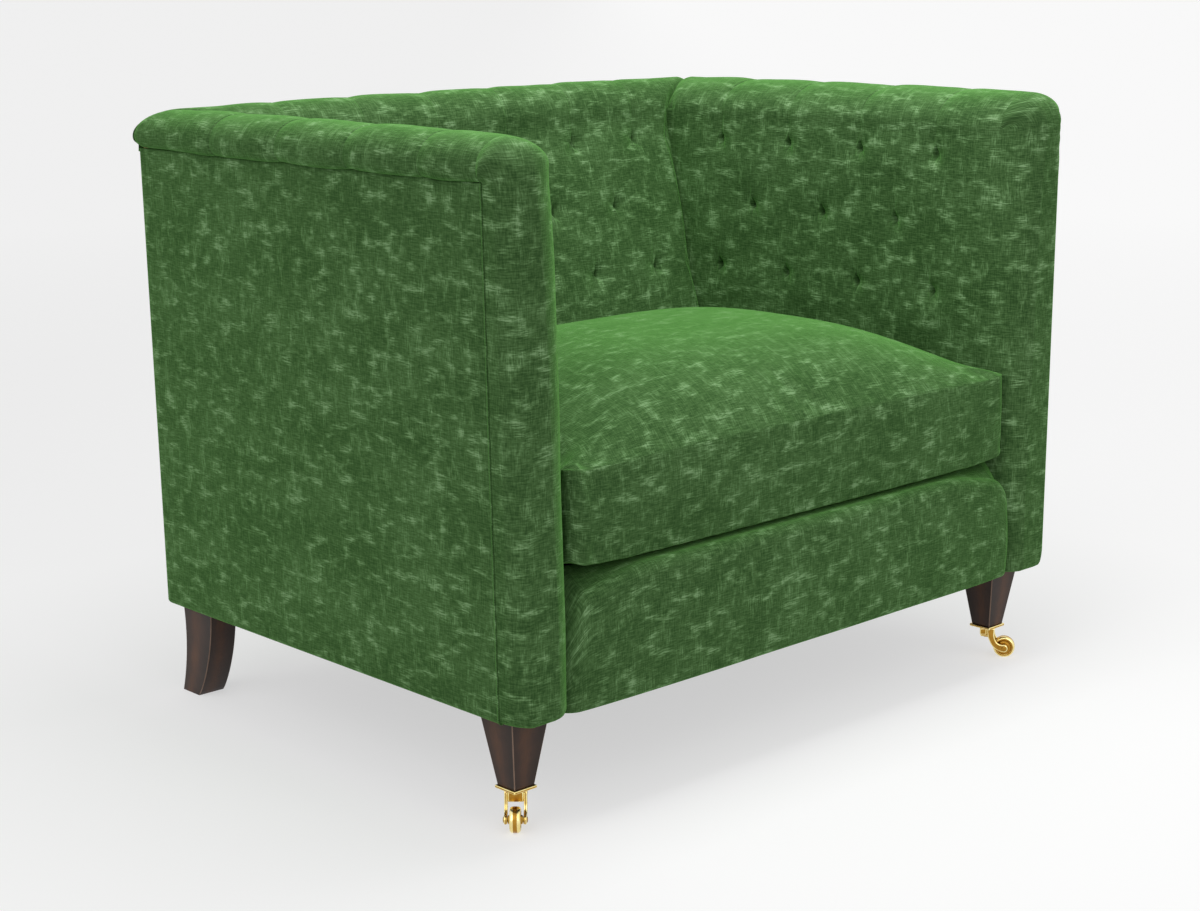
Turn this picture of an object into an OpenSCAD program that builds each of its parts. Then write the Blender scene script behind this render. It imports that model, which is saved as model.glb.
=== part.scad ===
// Snuggler armchair: tufted inside arms and back, a loose boxed seat cushion,
// square tapered front legs on brass castors and sabre back legs.
// The front faces -Y, +Z is up, and the origin is on the floor under the middle of the chair.
// Left is the -X side, as seen from the front.

/* [Body] */
// Width over the outside arm panels at their foot
body_w = 1034; // [1000:2:1100]
// Depth from the front border to the outside back
body_d = 760; // [740:2:820]
// Height of the roll's top above the floor
total_h = 838; // [820:2:880]
// Height of the underside of the upholstery above the floor
base_h = 150; // [135:1:165]
// How far each outside arm panel leans out over its height
arm_lean = 9; // [0:1:14]
// How far the outside back panel leans forward over its height
back_lean = 6; // [0:1:10]
// Thickness of an arm at the seat
arm_t = 96; // [90:1:100]
// Thickness of the outside panels
panel_t = 4; // [3:0.5:5]

/* [Padded roll] */
// Height of the roll above its lip
roll_h = 51; // [46:1:56]
// How far the roll stands out past the outside panels
roll_over = 8; // [5:1:12]
// How far the inside arm draws outwards under the roll
roll_draw = 6; // [4:1:20]
// Depth of the creases that run from the top buttons over the roll
crease_d = 4; // [1:0.5:6]

/* [Inside back] */
// Rake of the inside back from upright, in degrees
rake = 13.8; // [12:0.2:15]
// Distance from the outside back to the tufted face, at the top row of buttons
back_t = 80; // [78:1:90]
// Distance from the outside back to the back's webbing, at the foot of the pad
web_foot_d = 117.5; // [110:0.5:122]
// Distance from the outside back to the back's webbing, at the top rail
web_top_d = 37; // [36:0.5:42]

/* [Tufting] */
// Buttons in the top row of each inside arm
arm_tufts = 4; // [3:1:5]
// Buttons in the top row of the inside back
back_tufts = 6; // [5:1:7]
// Drop from one row of buttons to the next
row_pitch = 99; // [92:1:106]
// Depth of the top row below the roll's top
row_drop = 89; // [86:1:96]
// Depth of a button's dimple
tuft_d = 7; // [5:1:12]
// How far the padding swells between the buttons
crest = 5; // [3:0.5:6]
// Diameter of a covered button
button_dia = 19; // [14:1:24]

/* [Front] */
// Depth of the padded arm fronts and of the front border
front_pad = 41; // [36:1:46]
// Radius of the upright corners of an arm front
front_r = 30; // [22:1:34]
// Radius of the top front end of the roll
top_r = 45; // [36:1:50]
// Radius of the border's top front edge
border_r = 34; // [26:1:38]
// Height of the border's top above the underside of the upholstery
border_h = 142; // [136:1:146]

/* [Seat cushion] */
// Height of the cushion's boxing
boxing_h = 120; // [105:1:135]
// Height of the crown above the top seam
crown_h = 95; // [70:1:110]
// How far the underside swells below the bottom seam
belly_h = 18; // [12:1:24]
// How far the cushion's front lies behind the front of the border
cushion_set = 8; // [4:1:14]
// Radius of the cushion's upright front corners
cushion_r = 28; // [20:1:36]

/* [Frame] */
// Thickness of the hardwood frame
frame_t = 32; // [29:0.5:33]
// Height of the seat rails
rail_h = 112; // [104:1:114]
// Depth along the arm of a front post
post_d = 60; // [50:1:70]
// Height of the top rails
top_rail_h = 25; // [22:1:27]
// Height of the lower rails behind the pads
lower_rail_h = 40; // [35:1:50]
// Leg of a corner block
block_leg = 90; // [70:1:110]

/* [Seat and webbing] */
// Number of serpentine springs
spring_n = 5; // [4:1:6]
// Thickness of the spring wire
wire = 3.6; // [3:0.2:4]
// Width of a spring
spring_w = 52; // [44:2:60]
// Number of bends in a spring
spring_bends = 26; // [18:2:30]
// Thickness of the hessian and of the webbing
web_t = 1.5; // [1:0.25:2]
// Width of a webbing strap
web_w = 50; // [40:5:60]
// Thickness of the foam deck pad
deck_t = 30; // [24:1:34]

/* [Legs] */
// Width of a front leg at its top
leg_top_w = 62; // [54:1:64]
// Width of a front leg at its foot
leg_foot_w = 32; // [28:1:36]
// Distance from a front leg's axis to the outside of the body
leg_side = 49; // [46:1:52]
// Distance from a front leg's axis to the front of the body
leg_front = 70; // [66:1:74]
// Depth of a back leg at its top
sabre_top_d = 71; // [60:1:74]
// Depth of a back leg at its foot
sabre_foot_d = 41; // [34:1:46]
// Thickness of a back leg
sabre_t = 42; // [34:1:46]
// How far a back leg's foot kicks out behind the back
leg_kick = 35; // [20:1:45]
// Distance from a back leg's outer face to the outside of the body, at its top
sabre_side = 24; // [20:1:30]
// How far a back leg leans in towards its foot
sabre_in = 15; // [0:1:18]

/* [Castors] */
// Width of the square brass plate under a front leg
plate_w = 37; // [36:1:42]
// Thickness of the brass plate
plate_t = 4; // [3:0.5:5]
// Height of a castor, from the floor to the foot of its leg
castor_h = 50.8; // [50:0.1:53]
// Diameter of a castor wheel
wheel_dia = 32; // [30:1:34]
// Width of a castor wheel's tread
wheel_w = 14; // [12:0.5:15]
// Distance from the pintle's axis to the axle
trail = 26; // [25:1:28]
// Diameter of the axle
axle_dia = 6; // [5:0.5:7]
// Diameter of the pintle
pintle_dia = 8; // [7:0.5:9]
// Width of a castor yoke over its cheeks
yoke_w = 28; // [27:0.5:29]
// Length of a castor yoke's crown along its trail
crown_l = 22; // [20:1:23]
// Height of a castor yoke's crown
crown_t = 14; // [12:0.5:15]
// Thickness of a castor yoke's cheek
cheek_t = 4.2; // [3.6:0.1:4.4]
// Width of a cheek's horn below the crown
horn_w = 12; // [10:0.5:13]
// Heading of the left castor's trail at rest, in degrees from +X
castor_left_turn = 226; // [0:1:360]
// Heading of the right castor's trail at rest, in degrees from +X
castor_right_turn = 306; // [0:1:360]

/* [Hidden] */

// Clearance between soft pieces and what carries them
clear = 0.3;
// Running clearance of a shaft in its hole
run = 0.06;
// How far a cut runs past the faces it opens
over = 2;
fine = 48;

green = "#47693d";
timber = "#b98f5e";
stain = "#4a332a";
brass = "#b0893c";
steel = "#8d9196";
cloth = "#2b2b2b";
jute = "#b09a6c";
foam = "#d9d2a8";

// Main planes of the body
front_y = -(body_d + leg_kick) / 2;
back_y = front_y + body_d;
out_x = body_w / 2;
in_x = out_x - arm_t;
lip_z = total_h - roll_h;
seam_y = front_y + front_pad;
panel_h = lip_z - base_h;

// Where the outside panels stand at a height
function arm_out(z) = out_x + arm_lean * (z - base_h) / panel_h;
function back_out(z) = back_y - back_lean * (z - base_h) / panel_h;

// Frame levels
cloth_t = web_t;
frame_z = base_h + cloth_t;
rail_z = frame_z + rail_h;
frame_in = out_x - panel_t - frame_t;
frame_out = out_x - panel_t;
rail_rise = 3;
top_rail_z = lip_z + rail_rise;
top_rail_foot = top_rail_z - top_rail_h;
top_rail_out = arm_out(top_rail_foot) - panel_t - clear;
top_rail_back = back_out(top_rail_z) - panel_t - clear;
rear_in = back_y - panel_t - frame_t;
rear_out = back_out(rail_z) - panel_t;

// Seat levels, from the rails up to the cushion
clip_t = web_t;
spring_z = rail_z + clip_t + clear;
hessian_z = spring_z + wire + clear;
deck_z = hessian_z + web_t + clear;
deck_top = deck_z + deck_t;
cushion_z = deck_top + clear;

// Pads: heights of the rows of buttons and of the stations up a pad
rows = 3;
steps_per_row = 3;
row_top = total_h - row_drop;
pad_foot = deck_top - deck_t / 3;
face_steps = (rows - 1) * steps_per_row + 2;
row_low = row_top - face_steps * row_pitch / steps_per_row;
low_steps = 3;
face_z = concat(
    [for (k = [0 : low_steps - 1]) pad_foot + (row_low - pad_foot) * k / low_steps],
    [for (k = [face_steps : -1 : 0]) row_top - k * row_pitch / steps_per_row]);
face_n = len(face_z);

// The roll is half an ellipse inside its crest and a tighter one outside
roll_angles = [165, 140, 115, 90, 62, 34, 8, -25];
roll_n = len(roll_angles);
path_n = face_n + roll_n;
crest_share = 0.57;
roll_share = 0.686;
roll_b = roll_h * roll_share;
roll_z = total_h - roll_b;
arm_lip = arm_out(lip_z) + roll_over;
arm_roll_in = in_x + roll_draw;
arm_crest = arm_roll_in + (arm_lip - arm_roll_in) * crest_share;
back_lip = back_out(lip_z) + roll_over;
corner_y = back_y - back_t;
back_roll_in = corner_y + (roll_z - row_top) * tan(rake) / 4;
back_crest = back_roll_in + (back_lip - back_roll_in) * crest_share;

// Slope in plan of the mitre between the arm rolls and the back roll
mitre = (back_lip - corner_y) / (arm_lip - in_x);

// Backs of the pads
arm_pad_back = frame_in - web_t - clear;
function web_y(z) = back_y - web_foot_d
    + (web_foot_d - web_top_d) * (z - pad_foot) / (top_rail_z - pad_foot);

// Button pitches, centred between the ends of each pad
arm_mid_y = (seam_y + corner_y) / 2;
arm_pitch = (corner_y - seam_y) / (arm_tufts + 0.5);
back_pitch = 2 * (in_x - crest) / (back_tufts + 0.5);
dimple_share = 0.1515;
dimple_w = row_pitch * dimple_share;

function gauss(d, w) = exp(-d * d / (2 * w * w));
function mix(a, b, t) = a + (b - a) * t;
function row_n(tufts, row) = row == 1 ? tufts - 1 : tufts;
function tuft_u(tufts, pitch, row, i) = (i - (row_n(tufts, row) - 1) / 2) * pitch;
function sum(v, i = 0) = i < len(v) ? v[i] + sum(v, i + 1) : 0;

// Share of the full dimple at a place u along a pad and z up it
function dimple(tufts, pitch, u, z) = min(1, sum([
    for (row = [0 : rows - 1], i = [0 : row_n(tufts, row) - 1])
        gauss(norm([u - tuft_u(tufts, pitch, row, i), z - row_top + row * row_pitch]), dimple_w)]));
// Share of the full crease at a place u along a roll
function crease(tufts, pitch, u) = min(1, sum([
    for (i = [0 : tufts - 1]) gauss(u - tuft_u(tufts, pitch, 0, i), dimple_w / 2)]));
// The padding flattens towards the ends of a pad
end_power = 6;
function ends(u, half) = 1 - pow(min(1, abs(u) / half), end_power);
function tuft_floor(u, half) = tuft_d + crest * (1 - ends(u, half));

// Inside arm: distance from the middle of the chair to the pad's face, before tufting
function arm_face(z) = in_x + roll_draw * pow(max(0, (z - pad_foot) / (row_top - pad_foot)), 3);
function back_face(z) = corner_y + tan(rake) * (z - row_top);

// One point of the roll: its place across the roll and its height
function roll_point(a, roll_in, roll_crest, roll_lip, sink) =
    [roll_crest + (cos(a) < 0 ? roll_crest - roll_in - sink : roll_lip - roll_crest - sink) * cos(a),
     roll_z + (roll_b - sink) * sin(a)];

// A point of an arm's padded side, for station i and place y, and of a back's, for place x
function arm_point(i, y) = let (u = y - arm_mid_y, half = corner_y - arm_mid_y)
    i < face_n
        ? let (z = face_z[i], g = dimple(arm_tufts, arm_pitch, u, z))
            [arm_face(z) - crest * ends(u, half) + (crest + tuft_d) * g, z]
        : roll_point(roll_angles[i - face_n], arm_roll_in, arm_crest, arm_lip,
            crease_d * crease(arm_tufts, arm_pitch, u));
function back_point(i, x) = let (half = in_x - crest)
    i < face_n
        ? let (z = face_z[i], g = dimple(back_tufts, back_pitch, x, z))
            [back_face(z) - crest * ends(x, half) + (crest + tuft_d) * g, z]
        : roll_point(roll_angles[i - face_n], back_roll_in, back_crest, back_lip,
            crease_d * crease(back_tufts, back_pitch, x));

// The side of a pad that lies on the webbing and over the top rail
function back_of_roll(k, near, far) = k < roll_n - 1
    ? [mix(near, far, k / (roll_n - 2)), top_rail_z + clear]
    : [far + 2 * clear, lip_z + 2 * clear];
function arm_backing(i) = i < face_n
    ? [arm_pad_back, face_z[i]]
    : back_of_roll(i - face_n, arm_pad_back, top_rail_out + clear);
function back_backing(i) = i < face_n
    ? [web_y(face_z[i]) - web_t - clear, face_z[i]]
    : back_of_roll(i - face_n, web_y(top_rail_z) - web_t, top_rail_back + clear);

// A closed skin over rings of 2n points, whose ends are strips between point i and its opposite
module skin(rings) {
    n = len(rings[0]);
    m = len(rings);
    h = n / 2;
    points = [for (ring = rings, p = ring) p];
    sides = [for (j = [0 : m - 2], i = [0 : n - 1])
        let (a = j * n + i, b = j * n + (i + 1) % n) each [[a, b, b + n], [a, b + n, a + n]]];
    near = [for (i = [0 : h - 2])
        each [[i, n - 1 - i, i + 1], [i + 1, n - 1 - i, n - 2 - i]]];
    far = [for (f = near) [for (k = [2 : -1 : 0]) f[k] + (m - 1) * n]];
    polyhedron(points = points, faces = concat(sides, near, far), convexity = 8);
}

// A piece made for the right side, and its mirror on the left
module left_side() {
    mirror([1, 0, 0]) children();
}

// A box from its lowest to its highest corner
module block(low, high) {
    translate(low) cube(high - low);
}

// A profile in Y and Z, drawn along X from x0 to x1
module along_x(x0, x1, outline) {
    translate([x0, 0, 0]) rotate([90, 0, 90]) linear_extrude(height = x1 - x0) polygon(outline);
}

// A profile in X and Z, drawn along Y from y0 to y1
module along_y(y0, y1, outline) {
    translate([0, y1, 0]) rotate([90, 0, 0]) linear_extrude(height = y1 - y0) polygon(outline);
}

// Rails and posts of the frame
post_back_y = seam_y + clear + post_d;
rail_front_y = seam_y + clear;
front_rail_in = rail_front_y + frame_t;
post_face_y = web_y(pad_foot);
lower_rail_z = pad_foot - lower_rail_h / 8;
bolt_dia = 8;
bolt_x = out_x - leg_side - bolt_dia * 3 / 8;
bolt_up_share = 0.42;
bolt_down_share = 0.3;
bolt_up = rail_h * bolt_up_share;
bolt_down = base_h * bolt_down_share;
front_bolt_y = front_y + leg_front - bolt_dia;
rear_bolt_y = rear_in + frame_t / 2;

module bolt_holes(y) {
    for (side = [-1, 1])
        translate([side * bolt_x, y, frame_z - over])
            cylinder(d = bolt_dia + 2 * run, h = bolt_up + over + clear, $fn = fine);
}

module front_rail() {
    color(timber) difference() {
        block([-frame_in, rail_front_y, frame_z], [frame_in, front_rail_in, rail_z]);
        bolt_holes(front_bolt_y);
    }
}

module rear_rail() {
    color(timber) difference() {
        block([-frame_in, rear_in, frame_z], [frame_in, rear_out, rail_z]);
        bolt_holes(rear_bolt_y);
    }
}

module side_rail_right() {
    color(timber) block([frame_in, post_back_y, frame_z], [frame_out, post_face_y, rail_z]);
}

block_share = 0.6;
module corner_block() {
    linear_extrude(height = rail_h * block_share) polygon([[0, 0], [block_leg, 0], [0, block_leg]]);
}

module corner_blocks() {
    color(timber) for (side = [0, 1]) mirror([side, 0, 0]) {
        translate([frame_in, front_rail_in, frame_z]) mirror([1, 0, 0]) corner_block();
        translate([frame_in, rear_in, frame_z]) rotate([0, 0, 180]) corner_block();
    }
}

module front_post_right() {
    color(timber) block([frame_in, rail_front_y, frame_z], [frame_out, post_back_y, top_rail_foot]);
}

// The back post is upright behind and raked in front, from the foot of the pad up
module back_post_right() {
    color(timber) along_x(frame_in, frame_out, [
        [post_face_y, frame_z], [back_out(frame_z) - panel_t, frame_z],
        [back_out(top_rail_foot) - panel_t, top_rail_foot],
        [web_y(top_rail_foot), top_rail_foot], [post_face_y, pad_foot]]);
}

module arm_top_rail_right() {
    color(timber) block([frame_in, rail_front_y, top_rail_foot],
        [top_rail_out, web_y(top_rail_z), top_rail_z]);
}

module arm_lower_rail_right() {
    color(timber) block([frame_in, post_back_y, lower_rail_z],
        [frame_out, post_face_y, lower_rail_z + lower_rail_h]);
}

module back_top_rail() {
    color(timber) block([-top_rail_out, web_y(top_rail_z), top_rail_foot],
        [top_rail_out, top_rail_back, top_rail_z]);
}

lower_rail_share = 0.8;
module back_lower_rail() {
    lower_front = web_y(lower_rail_z + lower_rail_h);
    color(timber) block([-frame_in, lower_front, lower_rail_z],
        [frame_in, lower_front + frame_t * lower_rail_share, lower_rail_z + lower_rail_h]);
}

// Serpentine springs, clipped to the front and rear rails
spring_front = front_rail_in - frame_t / 2;
spring_back = rear_in + frame_t / 2;
spring_gap = 2 * (in_x - spring_w) / spring_n;
function spring_x(i) = (i - (spring_n - 1) / 2) * spring_gap;
function zigzag(j, side) = let (t = j / spring_bends, turn = j % 2 == 0 ? -1 : 1,
        end = j == 0 || j == spring_bends)
    [turn * (spring_w - wire) / 2 + side * wire / 2, mix(spring_front, spring_back, t)
        + (end ? 0 : side * turn * wire / 10)];

module seat_springs() {
    color(steel) for (k = [0 : spring_n - 1])
        translate([spring_x(k), 0, spring_z])
            linear_extrude(height = wire) polygon(concat(
                [for (j = [0 : spring_bends]) zigzag(j, -1)],
                [for (j = [spring_bends : -1 : 0]) zigzag(j, 1)]));
}

clip_w = wire * 5;
module spring_clips() {
    color(steel) for (k = [0 : spring_n - 1], end = [0, 1]) {
        clip_y = end == 0 ? spring_front : spring_back;
        away = end == 0 ? -1 : 1;
        clip_x = spring_x(k) - (spring_w - wire) / 2;
        wall_y = clip_y + away * wire;
        translate([clip_x - clip_w / 2, clip_y - clip_w / 2, rail_z]) cube([clip_w, clip_w, clip_t]);
        translate([clip_x - clip_w / 2, wall_y - clip_t / 2, rail_z])
            cube([clip_w, clip_t, clip_t + wire / 2]);
    }
}

deck_front = front_rail_in + clear;
deck_x = in_x - crest - clear;
hessian_back = post_face_y;
deck_back = back_face(pad_foot) - crest - clear;

module deck_hessian() {
    color(jute) block([-deck_x, deck_front, hessian_z], [deck_x, hessian_back, hessian_z + web_t]);
}

module deck_pad() {
    color(foam) block([-deck_x, deck_front, deck_z], [deck_x, deck_back, deck_top]);
}

// Webbing straps behind the pads
web_foot_z = lower_rail_z + clear;
web_top_z = top_rail_z - clear;
arm_straps = 5;
back_straps = 6;

module arm_webbing_right() {
    web_front = rail_front_y + post_d;
    span = post_face_y - web_front;
    color(jute) for (k = [0 : arm_straps - 1]) {
        mid = web_front + span * (k + 0.5) / arm_straps;
        block([frame_in - web_t, mid - web_w / 2, web_foot_z], [frame_in, mid + web_w / 2, web_top_z]);
    }
}

module back_webbing() {
    color(jute) for (k = [0 : back_straps - 1]) {
        mid = frame_in * ((2 * k + 1) / back_straps - 1);
        along_x(mid - web_w / 2, mid + web_w / 2, [
            [web_y(web_foot_z) - web_t, web_foot_z], [web_y(web_foot_z), web_foot_z],
            [web_y(web_top_z), web_top_z], [web_y(web_top_z) - web_t, web_top_z]]);
    }
}

// Tufted pads: a ring of face points and backing points at each station along the pad
arm_half = 2 * arm_tufts + 1;
back_half = 2 * back_tufts + 1;
function arm_end(i, x) = let (mitre_y = corner_y + (x - in_x) * mitre - clear)
    i < face_n ? min(mitre_y, web_y(face_z[i]) - web_t - clear) : mitre_y;
function back_end(i, y) = i < face_n
    ? arm_face(face_z[i]) - crest - clear
    : in_x + (y - corner_y) / mitre - clear;

// Below the tufting the stations close up, so that the arm pad ends in front of the back's webbing
path_order = concat([for (i = [0 : path_n - 1]) i], [for (i = [path_n - 1 : -1 : 0]) i]);
function arm_ring(j) = let (y = arm_mid_y + j * arm_pitch / 4, share = (j + arm_half) / (2 * arm_half),
        front_end = seam_y + clear,
        loop = concat([for (i = [0 : path_n - 1]) arm_point(i, y)],
            [for (i = [path_n - 1 : -1 : 0]) arm_backing(i)]))
    [for (k = [0 : 2 * path_n - 1]) let (i = path_order[k], p = loop[k], end = arm_end(i, p[0]))
        [p[0], i < low_steps || abs(j) == arm_half ? mix(front_end, end, share) : y, p[1]]];

function back_ring(j) = let (x = j * back_pitch / 4, last = abs(j) == back_half,
        face = [for (i = [0 : path_n - 1]) back_point(i, x)],
        back = [for (i = [path_n - 1 : -1 : 0]) back_backing(i)],
        loop = concat(face, back))
    [for (k = [0 : 2 * path_n - 1])
        [last ? sign(j) * back_end(path_order[k], loop[k][0]) : x, loop[k][0], loop[k][1]]];

module inside_arm_right() {
    color(green) skin([for (j = [arm_half : -1 : -arm_half]) arm_ring(j)]);
}

module inside_back() {
    color(green) skin([for (j = [-back_half : back_half]) back_ring(j)]);
}

// Covered buttons: a domed head over a shank that reaches the bottom of the dimple
tuft_slope = (crest + tuft_d) * steps_per_row / row_pitch + 3 * roll_draw / (row_top - pad_foot);
button_t = button_dia / 4;
shank_dia = button_dia / 8;
shank_gap = clear + tuft_slope * shank_dia / 2;
head_gap = clear + tuft_slope * button_dia / 2;
module button() {
    translate([0, 0, shank_gap])
        cylinder(d = shank_dia, h = head_gap - shank_gap + button_t / 2, $fn = fine);
    translate([0, 0, head_gap]) rotate_extrude($fn = fine) polygon(concat(
        [[0, 0], [button_dia / 2 - button_t / 4, 0], [button_dia / 2, button_t / 4]],
        [for (a = [15 : 15 : 75]) [button_dia / 2 * cos(a), button_t / 4 + 3 * button_t / 4 * sin(a)]],
        [[0, button_t]]));
}

module arm_buttons_right() {
    color(green) for (row = [0 : rows - 1], i = [0 : row_n(arm_tufts, row) - 1]) {
        z = row_top - row * row_pitch;
        u = tuft_u(arm_tufts, arm_pitch, row, i);
        translate([arm_face(z) + tuft_floor(u, corner_y - arm_mid_y), arm_mid_y + u, z])
            rotate([0, -90, 0]) button();
    }
}

module back_buttons() {
    color(green) for (row = [0 : rows - 1], i = [0 : row_n(back_tufts, row) - 1]) {
        z = row_top - row * row_pitch;
        u = tuft_u(back_tufts, back_pitch, row, i);
        translate([u, back_face(z) + tuft_floor(u, in_x - crest), z])
            rotate([90 - rake, 0, 0]) button();
    }
}

// Arm front: the arm's whole outline, drawn in towards the front plane
front_z_shares = [0, 0.12, 0.3, 0.5, 0.7, 0.85, 1];
front_side_shares = [0.995, 0.8, 0.6, 0.4, 0.2, 0];
front_depth_shares = [0, 0.28, 0.55, 0.78, 0.93, 1];
front_draw_share = 0.85;
front_last = 1;
function draw_in(depth, r) = depth < r ? r - sqrt(r * r - pow(r - depth, 2)) : 0;
outline_angles_in = [165, 140, 115, 92];
outline_angles_out = [-25, 8, 34, 62, 88];
function drawn_roll(a, side, top) = let (p = roll_point(a, arm_roll_in, arm_crest, arm_lip, 0))
    [p[0] - side * cos(a), p[1] - top * max(0, sin(a))];
function front_outline(y) = let (depth = y - front_y, side = draw_in(depth, front_r),
        top = draw_in(depth, top_r), foot = draw_in(depth, front_r / 2))
    concat(
        [for (t = front_z_shares) let (z = mix(base_h + foot, row_top, t)) [arm_face(z) + side, z]],
        [for (a = outline_angles_in) drawn_roll(a, side, top)],
        [for (k = [len(outline_angles_out) - 1 : -1 : 0])
            drawn_roll(outline_angles_out[k], side, top)],
        [for (t = front_side_shares) let (z = mix(base_h + foot, lip_z, t))
            [arm_out(z) - side, z]]);

module arm_front_right() {
    depths = concat([front_pad],
        [for (t = front_depth_shares) mix(top_r * front_draw_share, front_last, t)]);
    color(green) skin([for (d = depths)
        [for (p = front_outline(front_y + d)) [p[0], front_y + d, p[1]]]]);
}

// Front border: a soft-topped pad, its ends drawn back a little beside the arm fronts
border_x = in_x - clear;
border_top = base_h + border_h;
border_foot = spring_z + wire + 3 * clear;
border_bow_share = 0.3;
border_bow = front_pad * border_bow_share;
border_foot_r = border_r / 3;
arc_steps = 6;
plan_steps = 10;
plan_power = 8;
function arc(cy, cz, r, a0, a1) = [for (k = [0 : arc_steps]) let (a = mix(a0, a1, k / arc_steps))
    [cy + r * cos(a), cz + r * sin(a)]];

module front_border() {
    inner = front_rail_in;
    plan_x = [for (k = [-plan_steps : plan_steps]) border_x * k / plan_steps];
    color(green) intersection() {
        along_x(-border_x, border_x, concat(
            arc(front_y + border_foot_r, base_h + border_foot_r, border_foot_r, 270, 180),
            arc(front_y + border_r, border_top - border_r, border_r, 180, 90),
            arc(inner - border_r / 4, border_top - border_r / 4, border_r / 4, 90, 0),
            [[inner, border_foot], [seam_y, border_foot], [seam_y, base_h]]));
        translate([0, 0, base_h - over]) linear_extrude(height = border_h + 2 * over) polygon(concat(
            [for (x = plan_x) [x, front_y + border_bow * pow(abs(x) / border_x, plan_power)]],
            [[border_x, seam_y], [deck_x, seam_y], [deck_x, inner + over],
                [-deck_x, inner + over], [-deck_x, seam_y], [-border_x, seam_y]]));
    }
}

// Outside panels: cloth over board, from the arm fronts round to the back
module outside_arm_right() {
    back_z = [base_h - over, lip_z + over];
    color(green) intersection() {
        along_y(seam_y + clear, back_y + over, [
            [arm_out(base_h) - panel_t, base_h], [arm_out(base_h), base_h],
            [arm_out(lip_z), lip_z], [arm_out(lip_z) - panel_t, lip_z]]);
        along_x(frame_in, arm_lip + over, concat(
            [[seam_y - over, base_h - over]],
            [for (z = back_z) [back_out(z) - panel_t - clear, z]],
            [[seam_y - over, lip_z + over]]));
    }
}

module outside_back() {
    color(green) intersection() {
        along_x(-arm_lip, arm_lip, [
            [back_out(base_h) - panel_t, base_h], [back_out(base_h), base_h],
            [back_out(lip_z), lip_z], [back_out(lip_z) - panel_t, lip_z]]);
        along_y(corner_y, back_y + over, [
            [-arm_out(base_h), base_h], [arm_out(base_h), base_h],
            [arm_out(lip_z), lip_z], [-arm_out(lip_z), lip_z]]);
    }
}

// Spigots of the legs, which pass through the bottom cloth to the rails
spigot_share = 0.8;
spigot_w = leg_top_w * spigot_share;
front_leg_x = out_x - leg_side;
front_leg_y = front_y + leg_front;
spigot_d = spigot_w - bolt_dia / 2;
sabre_x = out_x - sabre_side - sabre_t / 2;
sabre_spigot = sabre_t * spigot_share;
sabre_front = back_y - sabre_top_d + sabre_t / 6;
sabre_back = back_y - panel_t - frame_t / 6;

module front_spigot(z0, z1, gap) {
    block([front_leg_x - spigot_w / 2 - gap, seam_y + 2 * clear - gap, z0],
        [front_leg_x + spigot_w / 2 + gap, seam_y + 2 * clear + spigot_d + gap, z1]);
}

module rear_spigot(z0, z1, gap) {
    block([sabre_x - sabre_spigot / 2 - gap, sabre_front - gap, z0],
        [sabre_x + sabre_spigot / 2 + gap, sabre_back + gap, z1]);
}

module bottom_cloth() {
    edge_x = out_x - panel_t - clear;
    edge_y = back_out(frame_z) - panel_t - clear;
    color(cloth) difference() {
        block([-edge_x, rail_front_y, base_h], [edge_x, edge_y, frame_z]);
        for (side = [0, 1]) mirror([side, 0, 0]) {
            front_spigot(base_h - over, frame_z + over, clear);
            rear_spigot(base_h - over, frame_z + over, clear);
        }
    }
}

// Seat cushion: sections along X, each a loop over the crown and back under the belly
cushion_x = in_x - crest - 2 * clear;
cushion_front = front_y + cushion_set;
cushion_back = back_face(cushion_z) - crest - 5 * clear;
cushion_seam = cushion_z + belly_h;
cushion_top = cushion_seam + boxing_h;
crown_power = 3.2;
belly_power = 2.2;
belly_share = 1.6;
belly_end_share = 0.985;
bulge_power = 8;
belly_edge = belly_h / 9;
draw_d = cushion_r / 7;
bulge_d = cushion_r / 5;
top_n = 16;
loop_n = top_n + 4;
straight_n = 17;
corner_angles = [18, 36, 54, 72, 90];
function hump(u, v, power) = (1 - pow(abs(u), power)) * (1 - pow(abs(v), power));
function belly(u, v) = mix(belly_edge, belly_h, min(1, belly_share * hump(u, v, belly_power)));

function cushion_ring(x, corner) = let (u = x / cushion_x,
        y0 = cushion_front + cushion_r * (1 - cos(corner)) + draw_d * (1 - u * u), y1 = cushion_back)
    concat(
        [[x, y0, cushion_seam], [x, y0 - bulge_d * (1 - pow(u, bulge_power)), cushion_seam + boxing_h / 2]],
        [for (j = [0 : top_n - 1]) let (v = sin(mix(-90, 90, j / (top_n - 1))))
            [x, mix(y0, y1, (v + 1) / 2), cushion_top + crown_h * hump(u, v, crown_power)]],
        [[x, y1, cushion_seam + boxing_h / 2], [x, y1, cushion_seam]],
        [for (j = [loop_n - 1 : -1 : 0]) let (v = mix(-belly_end_share, belly_end_share, j / (loop_n - 1)))
            [x, mix(y0, y1, (v + 1) / 2), cushion_seam - belly(u, v)]]);

module seat_cushion() {
    flat_x = cushion_x - cushion_r;
    near = [for (k = [len(corner_angles) - 1 : -1 : 0]) let (a = corner_angles[k])
        cushion_ring(-flat_x - cushion_r * sin(a), a)];
    middle = [for (k = [0 : straight_n - 1])
        cushion_ring(mix(-flat_x, flat_x, k / (straight_n - 1)), 0)];
    far = [for (a = corner_angles) cushion_ring(flat_x + cushion_r * sin(a), a)];
    color(green) skin(concat(near, middle, far));
}

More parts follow.
